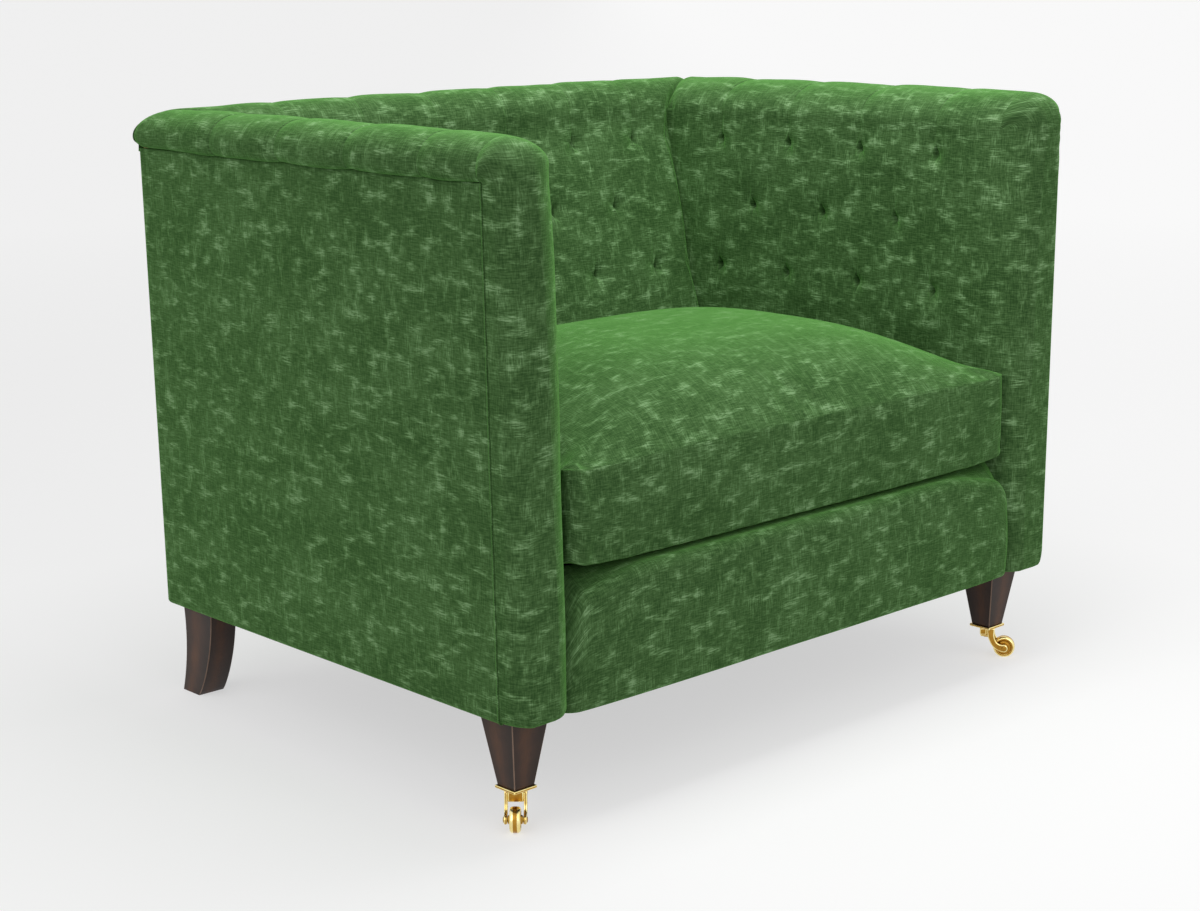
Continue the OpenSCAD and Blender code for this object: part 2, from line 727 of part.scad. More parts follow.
// Castors: the plate and its pintle, the yoke, the axle and the wheel
wheel_r = wheel_dia / 2;
axle_z = wheel_r;
wheel_gap = 0.6;
cheek_out = yoke_w / 2;
cheek_in = cheek_out - cheek_t;
hub_half = cheek_in - wheel_gap;
head_t = wheel_dia / 20;
leg_z = castor_h;
plate_z = leg_z - plate_t;
yoke_top = plate_z - run * 5;
yoke_z = yoke_top - crown_t;
eye_share = 1.15;
eye_r = axle_dia * eye_share;
hub_share = 0.85;
hub_r = axle_dia * hub_share;
horn_steps = 6;
screw_share = 0.8;
screw_dia = plate_t * screw_share;
screw_at = leg_foot_w / 2 - screw_dia * 3 / 2;
screw_len = plate_t * 7 / 2;

module front_leg_right() {
    top_z = base_h - clear;
    half_top = leg_top_w / 2;
    half_foot = leg_foot_w / 2;
    color(stain) translate([front_leg_x, front_leg_y, 0]) difference() {
        polyhedron(points = concat(
            [for (c = [[-1, -1], [1, -1], [1, 1], [-1, 1]]) [c[0] * half_foot, c[1] * half_foot, leg_z]],
            [for (c = [[-1, -1], [1, -1], [1, 1], [-1, 1]]) [c[0] * half_top, c[1] * half_top, top_z]]),
            faces = [[0, 1, 2, 3], [7, 6, 5, 4], [0, 4, 5, 1], [1, 5, 6, 2], [2, 6, 7, 3], [3, 7, 4, 0]]);
        translate([bolt_x - front_leg_x, front_bolt_y - front_leg_y, base_h - bolt_down])
            cylinder(d = bolt_dia + 2 * run, h = bolt_down + over, $fn = fine);
        for (sx = [-1, 1], sy = [-1, 1])
            translate([sx * screw_at, sy * screw_at, leg_z - over])
                cylinder(d = screw_dia + 2 * run, h = screw_len + over, $fn = fine);
    }
    color(stain) difference() {
        front_spigot(top_z, frame_z - clear / 3, 0);
        translate([bolt_x, front_bolt_y, top_z - over])
            cylinder(d = bolt_dia + 2 * run, h = 3 * over, $fn = fine);
    }
}

// The sabre leg's front and back edges sweep backwards towards the floor
sabre_shares = [0, 0.15, 0.3, 0.45, 0.6, 0.75, 0.9, 1];
sabre_power = 2;
sabre_taper_power = 0.75;
function sabre_ring(t) = let (z = (base_h - clear) * t, kick = leg_kick * pow(1 - t, sabre_power),
        depth = mix(sabre_foot_d, sabre_top_d, pow(t, sabre_taper_power)),
        x0 = sabre_x - sabre_t / 2 - sabre_in * (1 - t), y1 = back_y + kick)
    [[x0, y1 - depth, z], [x0, y1, z], [x0 + sabre_t, y1, z], [x0 + sabre_t, y1 - depth, z]];

module rear_leg_right() {
    top_z = base_h - clear;
    color(stain) difference() {
        union() {
            skin([for (t = sabre_shares) sabre_ring(t)]);
            rear_spigot(top_z, frame_z - clear / 3, 0);
        }
        translate([bolt_x, rear_bolt_y, base_h - bolt_down])
            cylinder(d = bolt_dia + 2 * run, h = bolt_down + 2 * over, $fn = fine);
    }
}

module leg_bolts() {
    color(steel) for (side = [-1, 1], y = [front_bolt_y, rear_bolt_y])
        translate([side * bolt_x, y, base_h - bolt_down])
            cylinder(d = bolt_dia, h = bolt_down + cloth_t + bolt_up, $fn = fine);
}

module castor_plate() {
    color(brass) difference() {
        union() {
            translate([-plate_w / 2, -plate_w / 2, plate_z]) cube([plate_w, plate_w, plate_t]);
            translate([0, 0, yoke_z - run])
                cylinder(d = pintle_dia, h = plate_z - yoke_z + over, $fn = fine);
            translate([0, 0, yoke_z - run - head_t])
                cylinder(d = pintle_dia * 3 / 2, h = head_t, $fn = fine);
        }
        for (sx = [-1, 1], sy = [-1, 1]) translate([sx * screw_at, sy * screw_at, plate_z - over])
            cylinder(d = screw_dia + 2 * run, h = plate_t + 2 * over, $fn = fine);
    }
}

module castor_screws() {
    color(brass) for (side = [-1, 1], sx = [-1, 1], sy = [-1, 1])
        translate([side * front_leg_x + sx * screw_at, front_leg_y + sy * screw_at, plate_z])
            cylinder(d = screw_dia, h = plate_t + screw_len, $fn = fine);
}

// A cheek sweeps down and forward from the crown's front to the eye as a curved horn
function horn_edge(x, z, eye_z) = [for (k = [0 : horn_steps]) let (a = 90 * k / horn_steps)
    [trail - (trail - x) * cos(a), z + (eye_z - z) * sin(a)]];
function horn_outline() = let (
        under = horn_edge(0, yoke_z - horn_w / 3, axle_z - eye_r),
        above = horn_edge(horn_w, yoke_z, axle_z + eye_r))
    concat([[0, yoke_top]], under, [for (k = [horn_steps : -1 : 0]) above[k]], [[horn_w, yoke_top]]);

module castor_yoke() {
    color(brass) difference() {
        union() {
            translate([horn_w - crown_l, -cheek_out, yoke_z]) cube([crown_l, 2 * cheek_out, crown_t]);
            for (side = [0, 1]) mirror([0, side, 0]) translate([0, cheek_out, 0])
                rotate([90, 0, 0]) linear_extrude(height = cheek_t) union() {
                    polygon(horn_outline());
                    translate([trail, axle_z]) circle(r = eye_r, $fn = fine);
                }
        }
        translate([0, 0, yoke_z - over])
            cylinder(d = pintle_dia + 2 * run, h = crown_t + 2 * over, $fn = fine);
        translate([trail, cheek_out + over, axle_z]) rotate([90, 0, 0])
            cylinder(d = axle_dia + 2 * run, h = 2 * (cheek_out + over), $fn = fine);
    }
}

module castor_axle() {
    color(brass) translate([trail, 0, axle_z]) rotate([90, 0, 0]) {
        cylinder(d = axle_dia, h = 2 * cheek_out + 2 * run, center = true, $fn = fine);
        for (side = [0, 1]) mirror([0, 0, side]) translate([0, 0, cheek_out + run])
            cylinder(d = axle_dia * 3 / 2, h = head_t, $fn = fine);
    }
}

module castor_wheel() {
    half = wheel_w / 2;
    bore = axle_dia / 2 + run;
    soft = wheel_w / 8;
    color(brass) translate([trail, 0, axle_z]) rotate([90, 0, 0]) rotate_extrude($fn = fine)
        polygon([[bore, -hub_half], [hub_r, -hub_half], [hub_r, -half],
            [wheel_r - soft, -half], [wheel_r, soft - half], [wheel_r, half - soft],
            [wheel_r - soft, half], [hub_r, half], [hub_r, hub_half], [bore, hub_half]]);
}

module at_castor(side) {
    turn = side < 0 ? castor_left_turn : castor_right_turn;
    translate([side * front_leg_x, front_leg_y, 0]) rotate([0, 0, turn]) children();
}

module at_leg(side) {
    translate([side * front_leg_x, front_leg_y, 0]) children();
}

front_rail();
rear_rail();
left_side() side_rail_right();  // side_rail_left
side_rail_right();
corner_blocks();
left_side() front_post_right();  // front_post_left
front_post_right();
left_side() back_post_right();  // back_post_left
back_post_right();
left_side() arm_top_rail_right();  // arm_top_rail_left
arm_top_rail_right();
left_side() arm_lower_rail_right();  // arm_lower_rail_left
arm_lower_rail_right();
back_top_rail();
back_lower_rail();
seat_springs();
spring_clips();
deck_hessian();
deck_pad();
left_side() arm_webbing_right();  // arm_webbing_left
arm_webbing_right();
back_webbing();
left_side() inside_arm_right();  // inside_arm_left
inside_arm_right();
inside_back();
left_side() arm_front_right();  // arm_front_left
arm_front_right();
front_border();
left_side() outside_arm_right();  // outside_arm_left
outside_arm_right();
outside_back();
bottom_cloth();
left_side() arm_buttons_right();  // arm_buttons_left
arm_buttons_right();
back_buttons();
seat_cushion();
left_side() front_leg_right();  // front_leg_left
front_leg_right();
left_side() rear_leg_right();  // rear_leg_left
rear_leg_right();
leg_bolts();
at_leg(-1) castor_plate();  // castor_plate_left
at_leg(1) castor_plate();  // castor_plate_right
castor_screws();
at_castor(-1) castor_yoke();  // castor_yoke_left
at_castor(1) castor_yoke();  // castor_yoke_right
at_castor(-1) castor_axle();  // castor_axle_left
at_castor(1) castor_axle();  // castor_axle_right
at_castor(-1) castor_wheel();  // castor_wheel_left
at_castor(1) castor_wheel();  // castor_wheel_right
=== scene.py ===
import math
import bmesh
import bpy
import numpy as np
from mathutils import Matrix, Quaternion, Vector


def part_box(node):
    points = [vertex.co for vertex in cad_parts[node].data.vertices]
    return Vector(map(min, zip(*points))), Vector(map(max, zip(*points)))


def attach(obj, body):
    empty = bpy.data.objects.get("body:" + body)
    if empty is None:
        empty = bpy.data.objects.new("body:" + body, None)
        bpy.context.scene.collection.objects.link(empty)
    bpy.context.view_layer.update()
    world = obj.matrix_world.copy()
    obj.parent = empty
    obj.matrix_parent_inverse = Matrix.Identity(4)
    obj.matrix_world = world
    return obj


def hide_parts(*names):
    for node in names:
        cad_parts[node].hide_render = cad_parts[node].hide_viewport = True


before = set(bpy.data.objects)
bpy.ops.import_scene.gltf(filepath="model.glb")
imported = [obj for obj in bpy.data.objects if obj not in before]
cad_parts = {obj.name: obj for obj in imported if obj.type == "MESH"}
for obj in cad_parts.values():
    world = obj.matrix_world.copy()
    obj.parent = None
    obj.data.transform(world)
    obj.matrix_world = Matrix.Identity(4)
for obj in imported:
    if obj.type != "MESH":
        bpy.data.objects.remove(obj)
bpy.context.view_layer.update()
scene = bpy.context.scene

# The studio: a pale seamless floor and even light. A soft box hangs over the seat, and two broad
# lamps stand on the left and in front. The camera looks down a little at the left front corner.
camera_place = Vector((-2.1152, -2.2473, 1.0362))
camera_azimuth = math.radians(-43.046)
camera_elevation = math.radians(12.835)
camera_roll = math.radians(-0.622)
camera_lens = 66.15
sky_strength = 0.37
lamps = (("side_lamp", 0.80, Vector((1.0, 0.15, -0.70)), 50),
         ("front_lamp", 0.60, Vector((0.1, 1.0, -0.70)), 50))
box_place = Vector((0.05, -0.25, 2.1))
box_size = 1.0
box_watts = 17
floor_reach = 400.0
floor_glow = 0.52
floor_across = (0.731, -0.682, 0)
floor_half = 1.6
painted_light_tones = (1.02, 1.17)
floor_far = (1.2, 6.0)
painted_far_lift = 0.14


def add(tree, kind, inputs=None, **settings):
    """Adds a node to a material's tree, with its settings, and its sockets' values or links."""
    made = tree.nodes.new(kind)
    for name, value in settings.items():
        setattr(made, name, value)
    for name, value in (inputs or {}).items():
        if isinstance(value, bpy.types.NodeSocket):
            tree.links.new(value, made.inputs[name])
        else:
            made.inputs[name].default_value = value
    return made


def linear(code):
    """A colour written as sRGB hex, as the linear RGBA that the shaders take."""
    parts = [int(code[k:k + 2], 16) / 255 for k in (1, 3, 5)]
    return tuple(c / 12.92 if c <= 0.04045 else ((c + 0.055) / 1.055) ** 2.4 for c in parts) + (1,)

def maths(tree, how, *values):
    """The result of a Math node."""
    return add(tree, "ShaderNodeMath", dict(enumerate(values)), operation=how).outputs[0]


def remap(tree, value, low, high, to_low=0.0, to_high=1.0, kind="LINEAR"):
    """The result of a Map Range node."""
    return add(tree, "ShaderNodeMapRange", {
        "Value": value, "From Min": low, "From Max": high, "To Min": to_low, "To Max": to_high},
        interpolation_type=kind).outputs[0]


def new_material(name):
    """A new material and its node tree, emptied."""
    made = bpy.data.materials.new(name)
    made.use_nodes = True
    made.node_tree.nodes.clear()
    return made, made.node_tree


def placed(name, data):
    """A new object in the scene."""
    made = bpy.data.objects.new(name, data)
    scene.collection.objects.link(made)
    return made


def seen_or_mirrored(tree):
    """1 for rays from the camera, and for those that metal and glass send on, otherwise 0."""
    rays = add(tree, "ShaderNodeLightPath").outputs
    first = maths(tree, "MAXIMUM", rays["Is Camera Ray"], rays["Is Glossy Ray"])
    return maths(tree, "MAXIMUM", first, rays["Is Transmission Ray"])


back_of_camera = Vector((math.sin(camera_azimuth) * math.cos(camera_elevation),
                         -math.cos(camera_azimuth) * math.cos(camera_elevation),
                         math.sin(camera_elevation)))
camera = placed("camera", bpy.data.cameras.new("camera"))
camera.data.lens = camera_lens
camera.rotation_mode = "QUATERNION"
camera.rotation_quaternion = ((-back_of_camera).to_track_quat("-Z", "Y")
                              @ Quaternion((0, 0, 1), camera_roll))
camera.location = camera_place
scene.camera = camera
scene.view_settings.view_transform = "Standard"

world = bpy.data.worlds.new("studio")
world.use_nodes = True
scene.world = world
sky = world.node_tree
sky.nodes.clear()
lighting = add(sky, "ShaderNodeBackground", {"Color": linear("#ffffff"), "Strength": sky_strength})
backdrop = add(sky, "ShaderNodeBackground", {"Color": linear("#f8f8f8"), "Strength": 1.0})
both = add(sky, "ShaderNodeMixShader", {0: seen_or_mirrored(sky), 1: lighting.outputs[0],
                                        2: backdrop.outputs[0]})
add(sky, "ShaderNodeOutputWorld", {"Surface": both.outputs[0]})

for name, strength, aim, spread in lamps:
    lamp = placed(name, bpy.data.lights.new(name, "SUN"))
    lamp.data.energy = strength
    lamp.data.angle = math.radians(spread)
    lamp.rotation_mode = "QUATERNION"
    lamp.rotation_quaternion = aim.to_track_quat("-Z", "Y")
soft_box = placed("soft_box", bpy.data.lights.new("soft_box", "AREA"))
soft_box.data.energy = box_watts
soft_box.data.size = box_size
soft_box.location = box_place

floor_mesh = bmesh.new()
bmesh.ops.create_grid(floor_mesh, x_segments=2, y_segments=2, size=floor_reach)
floor_data = bpy.data.meshes.new("floor")
floor_mesh.to_mesh(floor_data)
floor = placed("floor", floor_data)
# For the camera the floor partly glows. The glow is painted light, paler towards the right of the view
# and far off.
paper, tree = new_material("studio_floor_with_painted_light")
where = add(tree, "ShaderNodeTexCoord").outputs["Object"]
across = add(tree, "ShaderNodeVectorMath", {0: where, 1: floor_across}, operation="DOT_PRODUCT")
painted_light_across = remap(tree, across.outputs["Value"], -floor_half, floor_half, *painted_light_tones, "SMOOTHSTEP")
away = add(tree, "ShaderNodeVectorMath", {0: where}, operation="LENGTH")
painted_light_far = remap(tree, away.outputs["Value"], *floor_far, 0.0, painted_far_lift)
glow = add(tree, "ShaderNodeEmission", {"Color": linear("#fdfdfd"),
                                        "Strength": maths(tree, "ADD", painted_light_across, painted_light_far)})
shaded = add(tree, "ShaderNodeBsdfDiffuse", {"Color": linear("#f6f6f6")})
shown = add(tree, "ShaderNodeMixShader", {0: floor_glow, 1: shaded.outputs[0], 2: glow.outputs[0]})
bounce = add(tree, "ShaderNodeBsdfDiffuse", {"Color": linear("#c9c9c9")})
floor_finish = add(tree, "ShaderNodeMixShader", {0: seen_or_mirrored(tree), 1: bounce.outputs[0],
                                                 2: shown.outputs[0]})
add(tree, "ShaderNodeOutputMaterial", {"Surface": floor_finish.outputs[0]})
floor_data.materials.append(paper)

# The frame: beech rails and posts, dowelled and glued, with a block screwed into each corner of the
# seat. The timber is sawn and left bare: pale, straight in the grain and a little rough.
beech_pale = "#cfa97a"
beech_dark = "#a87c4e"
ring_width = 0.0035
fleck_width = 0.0006
grain_run = 40

def noise(tree, where, size, detail=2.0, **inputs):
    """Noise whose marks are about size across."""
    return add(tree, "ShaderNodeTexNoise", {"Vector": where, "Scale": 1 / size, "Detail": detail,
                                            **inputs}).outputs["Fac"]


def ramp(tree, value, *stops):
    """A colour ramp through stops, each a place and a hex colour."""
    made = add(tree, "ShaderNodeValToRGB", {"Fac": value})
    ends = made.color_ramp.elements
    for end, (place, code) in zip(ends, (stops[0], stops[-1])):
        end.position, end.color = place, linear(code)
    for place, code in stops[1:-1]:
        ends.new(place).color = linear(code)
    return made.outputs[0]


def bumped(tree, height, strength, depth):
    """A normal that a height raises by up to a depth in metres."""
    return add(tree, "ShaderNodeBump", {"Height": height, "Strength": strength,
                                        "Distance": depth}).outputs[0]


def surface(made, tree, inputs):
    """Ends a material with its surface."""
    shader = add(tree, "ShaderNodeBsdfPrincipled", inputs)
    add(tree, "ShaderNodeOutputMaterial", {"Surface": shader.outputs[0]})
    return made


def sawn_beech(name, along):
    """Bare sawn beech, with its grain along one axis of the chair."""
    made, tree = new_material(name)
    where = add(tree, "ShaderNodeTexCoord").outputs["Object"]

    def streaks(width, detail):
        scale = [1 / width] * 3
        scale[along] = 1 / (width * grain_run)
        place = add(tree, "ShaderNodeMapping", {"Vector": where, "Scale": scale}).outputs[0]
        return noise(tree, place, 1.0, detail)

    rings, flecks = streaks(ring_width, 3.0), streaks(fleck_width, 1.0)
    tone = remap(tree, maths(tree, "ADD", rings, flecks), 0.7, 1.3)
    return surface(made, tree, {
        "Base Color": ramp(tree, tone, (0, beech_dark), (1, beech_pale)), "Roughness": 0.75,
        "Normal": bumped(tree, flecks, 0.4, 0.0004)})


def finish_node(name, material):
    """Gives a CAD node that stays as it is its finished material."""
    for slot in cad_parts[name].material_slots:
        slot.link = "OBJECT"
        slot.material = material


beech_across = sawn_beech("sawn_beech_across", 0)
beech_deep = sawn_beech("sawn_beech_front_to_back", 1)
beech_upright = sawn_beech("sawn_beech_upright", 2)
for name in ("front_rail", "rear_rail", "corner_blocks", "back_top_rail", "back_lower_rail"):
    finish_node(name, beech_across)
for side in ("left", "right"):
    for name in ("side_rail", "arm_top_rail", "arm_lower_rail"):
        finish_node(f"{name}_{side}", beech_deep)
    for name in ("front_post", "back_post"):
        finish_node(f"{name}_{side}", beech_upright)

# The springs, their clips and the leg bolts: tempered steel wire bent to and fro, strip clips nailed
# to the rails, and zinc-plated bolts. All are bright grey steel with a faint drawn or rolled grain.
steel_grey = "#8f9498"
steel_dull = "#6f7478"
drawn_mark = 0.0008


def plain_steel(name, roughness):
    """Steel as it comes from the mill, with fine marks and a little dulling."""
    made, tree = new_material(name)
    where = add(tree, "ShaderNodeTexCoord").outputs["Object"]
    dull = noise(tree, where, drawn_mark * 25)
    return surface(made, tree, {
        "Base Color": ramp(tree, dull, (0, steel_dull), (1, steel_grey)), "Metallic": 1.0,
        "Roughness": roughness, "Normal": bumped(tree, noise(tree, where, drawn_mark), 0.2, 0.0002)})


tempered_wire = plain_steel("tempered_spring_steel", 0.42)
for name in ("seat_springs", "spring_clips"):
    finish_node(name, tempered_wire)
finish_node("leg_bolts", plain_steel("zinc_plated_steel", 0.3))

# The webbing and hessian: jute straps strained behind the pads, and a jute cloth over the springs,
# both tacked to the rails. The straps are thick and striped, and the hessian is an open plain weave.
jute_pale = "#bfa878"
jute_dark = "#8d764c"
jute_stripe = "#4a3a30"
jute_pitch = 0.0026
spring_print = 0.0003
spring_rows = 5
hessian_steps = (60, 40)
strap_steps = (6, 24)
strap_wide = 0.050
strap_thick = 0.0015
strap_belly = 0.0012
stripe_at = strap_wide * 0.32
stripe_half = 0.0015
arm_strap_count = 5
back_strap_count = 6


def cloth_grid(columns, rows, place):
    """A grid of cloth. place takes the share along each way, and gives points and the weave's UV."""
    mesh = bmesh.new()
    bmesh.ops.create_grid(mesh, x_segments=columns, y_segments=rows, size=0.5)
    flat = np.array([v.co for v in mesh.verts])
    points, weave = place(flat[:, 0] + 0.5, flat[:, 1] + 0.5)
    for vert, point in zip(mesh.verts, points.tolist()):
        vert.co = point
    layer = mesh.loops.layers.uv.new("cloth")
    uv = weave.tolist()
    for face in mesh.faces:
        face.smooth = True
        for loop in face.loops:
            loop[layer].uv = uv[loop.vert.index]
    return mesh


def plain_weave(name, pale, dark, pitch, striped=False):
    """A plain-woven cloth, whose threads cross at right angles on its own UV map, in metres."""
    made, tree = new_material(name)
    where = add(tree, "ShaderNodeUVMap", uv_map="cloth").outputs[0]
    warp, weft = (add(tree, "ShaderNodeTexWave", {
        "Vector": where, "Scale": math.pi / (10 * pitch), "Distortion": 0.6, "Detail Scale": 2.0},
        bands_direction=way).outputs["Fac"] for way in "XY")
    weave = maths(tree, "MULTIPLY", warp, weft)
    tone = maths(tree, "ADD", weave, noise(tree, where, pitch * 9, 3.0))
    colour = ramp(tree, maths(tree, "MULTIPLY", tone, 0.6), (0, dark), (1, pale))
    if striped:
        off = maths(tree, "ABSOLUTE", add(tree, "ShaderNodeSeparateXYZ", {0: where}).outputs["X"])
        line = maths(tree, "COMPARE", off, stripe_at, stripe_half)
        colour = add(tree, "ShaderNodeMixRGB", {0: line, 1: colour, 2: linear(jute_stripe)}).outputs[0]
    return surface(made, tree, {
        "Base Color": colour, "Roughness": 0.95, "Specular IOR Level": 0.1,
        "Normal": bumped(tree, weave, 0.5, pitch / 4)})


def finish_piece(mesh, name, material, body):
    """Turns a finished bmesh into an object that rides on a body and takes a slot's finish."""
    data = bpy.data.meshes.new(name)
    mesh.to_mesh(data)
    mesh.free()
    for one in material if isinstance(material, tuple) else (material,):
        data.materials.append(one)
    made = placed(name, data)
    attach(made, body)
    return made


def thicken(made, thickness, offset=0.0):
    """Gives a sheet its thickness: to both sides, or with an offset of -1 behind its face."""
    shell = made.modifiers.new("cloth_thickness", "SOLIDIFY")
    shell.thickness = thickness
    shell.offset = offset


def straps(first, last, count, across, out, belly):
    """Straps side by side from foot to head. first and last are the corners of the whole set."""
    meshes = []
    span = (last - first)[across] - strap_wide
    for k in range(count):
        edge = first[across] + span * k / (count - 1)

        def place(u, v):
            point = np.zeros((len(u), 3))
            point[:, across] = edge + strap_wide * u
            point[:, out] = first[out] + (last[out] - first[out]) * v + belly * np.sin(np.pi * v)
            point[:, 2] = first[2] + (last[2] - first[2]) * v
            return point, np.stack([(u - 0.5) * strap_wide, v * (last[2] - first[2])], 1)
        meshes.append(cloth_grid(*strap_steps, place))
    return meshes


def joined(meshes):
    """Several meshes as one."""
    whole = bmesh.new()
    whole.loops.layers.uv.new("cloth")
    for mesh in meshes:
        data = bpy.data.meshes.new("joined")
        mesh.to_mesh(data)
        mesh.free()
        whole.from_mesh(data)
        bpy.data.meshes.remove(data)
    return whole


jute_webbing = plain_weave("jute_webbing", jute_pale, jute_dark, jute_pitch, striped=True)
for side in ("left", "right"):
    low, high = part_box(f"arm_webbing_{side}")
    low.x = high.x = (low.x + high.x) / 2
    outwards = strap_belly if side == "right" else -strap_belly
    mesh = joined(straps(low, high, arm_strap_count, 1, 0, outwards))
    made = finish_piece(mesh, f"arm_webbing_straps_{side}", jute_webbing, "chair")
    thicken(made, strap_thick)
    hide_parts(f"arm_webbing_{side}")
low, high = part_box("back_webbing")
low.y += strap_thick / 2
high.y -= strap_thick / 2
mesh = joined(straps(low, high, back_strap_count, 0, 1, strap_belly))
made = finish_piece(mesh, "back_webbing_straps", jute_webbing, "chair")
thicken(made, strap_thick)
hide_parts("back_webbing")


def flat_sheet(low, high, wave):
    """A level sheet over a box's floor, with a shallow wave over the springs that carry it."""
    def place(u, v):
        x = low.x + (high.x - low.x) * u
        y = low.y + (high.y - low.y) * v
        lift = wave * (1 + np.cos(2 * np.pi * spring_rows * (u - 0.5))) / 2 * np.sin(np.pi * v)
        return np.stack([x, y, (low.z + high.z) / 2 + lift], 1), np.stack([x, y], 1)
    return cloth_grid(*hessian_steps, place)


low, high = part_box("deck_hessian")
hessian = finish_piece(flat_sheet(low, high, spring_print), "deck_hessian_cloth",
                       plain_weave("hessian", jute_pale, jute_dark, jute_pitch * 0.8), "chair")
thicken(hessian, high.z - low.z)
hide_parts("deck_hessian")

# The deck: a foam pad over the hessian, under a lining cloth in the cover's green. It fills the well
# between the arms, and shows only as a dark line in front of the cushion.
lining_pale = "#3f5c36"
lining_dark = "#2c4426"
lining_pitch = 0.0012
deck_round = 0.007
deck_low, deck_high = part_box("deck_pad")


def cuboid(mesh, low, high):
    """Adds a box between two corners to a mesh."""
    verts = bmesh.ops.create_cube(mesh, size=1.0)["verts"]
    bmesh.ops.scale(mesh, vec=high - low, verts=verts)
    bmesh.ops.translate(mesh, vec=(low + high) / 2, verts=verts)


def lay_cloth(mesh, place):
    """Smooths a mesh and lays its cloth: place gives the weave's UV at a point."""
    layer = mesh.loops.layers.uv.get("cloth") or mesh.loops.layers.uv.new("cloth")
    for face in mesh.faces:
        face.smooth = True
        for loop in face.loops:
            loop[layer].uv = place(loop.vert.co)


deck = bmesh.new()
cuboid(deck, deck_low, deck_high)
bmesh.ops.bevel(deck, geom=deck.edges, offset=deck_round, segments=4, profile=0.5, affect="EDGES",
                material=-1)
bmesh.ops.subdivide_edges(deck, edges=[e for e in deck.edges if e.calc_length() > 0.3], cuts=12,
                          use_grid_fill=True)
lay_cloth(deck, lambda point: (point.x, point.y + point.z))
lining = plain_weave("cotton_lining", lining_pale, lining_dark, lining_pitch)
deck = finish_piece(deck, "deck_cover", lining, "chair")
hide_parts("deck_pad")

# The cover cloth: a slub chenille, woven from soft pile yarns. Thick places in the yarns show as
# pale patches along both thread directions, and a painted sheen makes it bright and green edge on.
thread = 0.0019
thread_run = 0.014
slub_long = 0.036
slub_wide = 0.0150
cloud_size = 0.12
slub_range = (0.48, 0.80)
pile_dark = "#304e27"
pile_mid = "#4a6b3d"
pile_slub = "#668a59"
pile_pale = "#85a878"
painted_sheen_green = "#66b24c"
pile_sheen = "#9be07c"


def chenille(name):
    """Slub chenille whose threads follow the piece's own UV map, which is in metres of cloth."""
    made, tree = new_material(name)
    where = add(tree, "ShaderNodeUVMap", uv_map="cloth").outputs[0]

    def threads(wide, long, detail, rough, offset):
        place = add(tree, "ShaderNodeMapping", {"Vector": where, "Location": (offset, -offset, 0),
                                                "Scale": (1 / wide, 1 / long, 1)})
        return add(tree, "ShaderNodeTexNoise", {"Vector": place.outputs[0], "Scale": 1.0,
                                                "Detail": detail, "Roughness": rough},
                   noise_dimensions="2D").outputs["Fac"]

    def scaled(value, share):
        return maths(tree, "MULTIPLY", value, share)

    def yarn(wide, long, offset):
        return remap(tree, threads(wide, long, 2.0, 0.65, offset), 0.3, 0.7, -0.5, 0.5)

    def slub(wide, long, offset, strand):
        thick = remap(tree, threads(wide, long, 1.5, 0.55, offset), *slub_range, kind="SMOOTHSTEP")
        return scaled(thick, remap(tree, strand, -0.40, 0.40, 0.35, 1.20))

    warp, weft = yarn(thread, thread_run, 0.0), yarn(thread_run, thread, 3.1)
    cloud = remap(tree, threads(cloud_size, cloud_size * 0.6, 3.0, 0.55, 17.7), 0.3, 0.7, -0.5, 0.5)
    grain = maths(tree, "ADD", scaled(warp, 0.85), scaled(weft, 1.15))
    slubs = maths(tree, "ADD", scaled(slub(slub_wide, slub_long, 11.9, warp), 0.32),
                  scaled(slub(slub_long, slub_wide, 7.3, weft), 0.60))
    tone = maths(tree, "ADD", maths(tree, "ADD", scaled(grain, 0.31), scaled(cloud, 0.20)),
                 maths(tree, "ADD", slubs, 0.22))
    dyed = ramp(tree, tone, (0, pile_dark), (0.33, pile_mid), (0.68, pile_slub), (1, pile_pale))
    normal = bumped(tree, maths(tree, "ADD", scaled(grain, 0.5), slubs), 0.35, 0.0014)
    facing = add(tree, "ShaderNodeLayerWeight", {"Blend": 0.5, "Normal": normal}).outputs["Facing"]
    # Painted sheen: the colour is mixed towards a bright green where the surface is seen edge on.
    painted_sheen_share = scaled(maths(tree, "POWER", facing, 3.5), 0.62)
    colour = add(tree, "ShaderNodeMixRGB", {0: painted_sheen_share, 1: dyed, 2: linear(painted_sheen_green)}).outputs[0]
    return surface(made, tree, {
        "Base Color": colour, "Normal": normal, "Roughness": 0.9, "Specular IOR Level": 0.1,
        "Sheen Weight": 0.32, "Sheen Roughness": 0.4, "Sheen Tint": linear(pile_sheen)})


cover_cloth = chenille("slub_chenille")

# The outside arms and outside back: cover cloth pulled over board and tacked under the seat rails.
# Each arm panel is slip-stitched to the arm front, where a fine ridge shows, and wraps the back
# corner.
front_y = -0.3975
seam_y = -0.3565
back_y = 0.3660
out_x = 0.517
base_z = 0.146
lip_z = 0.787
arm_lean = 0.009
back_lean = 0.006
corner_r = 0.007
panel_t = 0.0035
panel_steps = 110
arm_panel_steps = 160
back_panel_steps = 190
turn_under = 0.006
turn_share = 0.03
panel_swell = 0.0016
stitch_lap = 0.0010
stitch_ridge = 0.0014
stitch_wide = 0.0016
hem_wide = 0.004
hem_high = 0.0003
tack_dip = 0.0012
back_gap = 0.0004
back_edge = 0.0030


def crowded(low, high, count, places, reach, extra):
    """count + 1 places from low to high, which crowd together within reach of some of them."""
    line = np.linspace(low, high, 6001)
    weight = np.ones_like(line)
    for place in places:
        weight += extra * np.exp(-((line - place) / reach) ** 4)
    total = np.concatenate([[0], np.cumsum((weight[1:] + weight[:-1]) / 2)])
    return np.interp(np.linspace(0, total[-1], count + 1), total, line)


def spread(share, low, high, count, places, reach, extra):
    """Where a share of a crowded line's steps falls."""
    line = crowded(low, high, count, places, reach, extra)
    return np.interp(share, np.linspace(0, 1, count + 1), line)


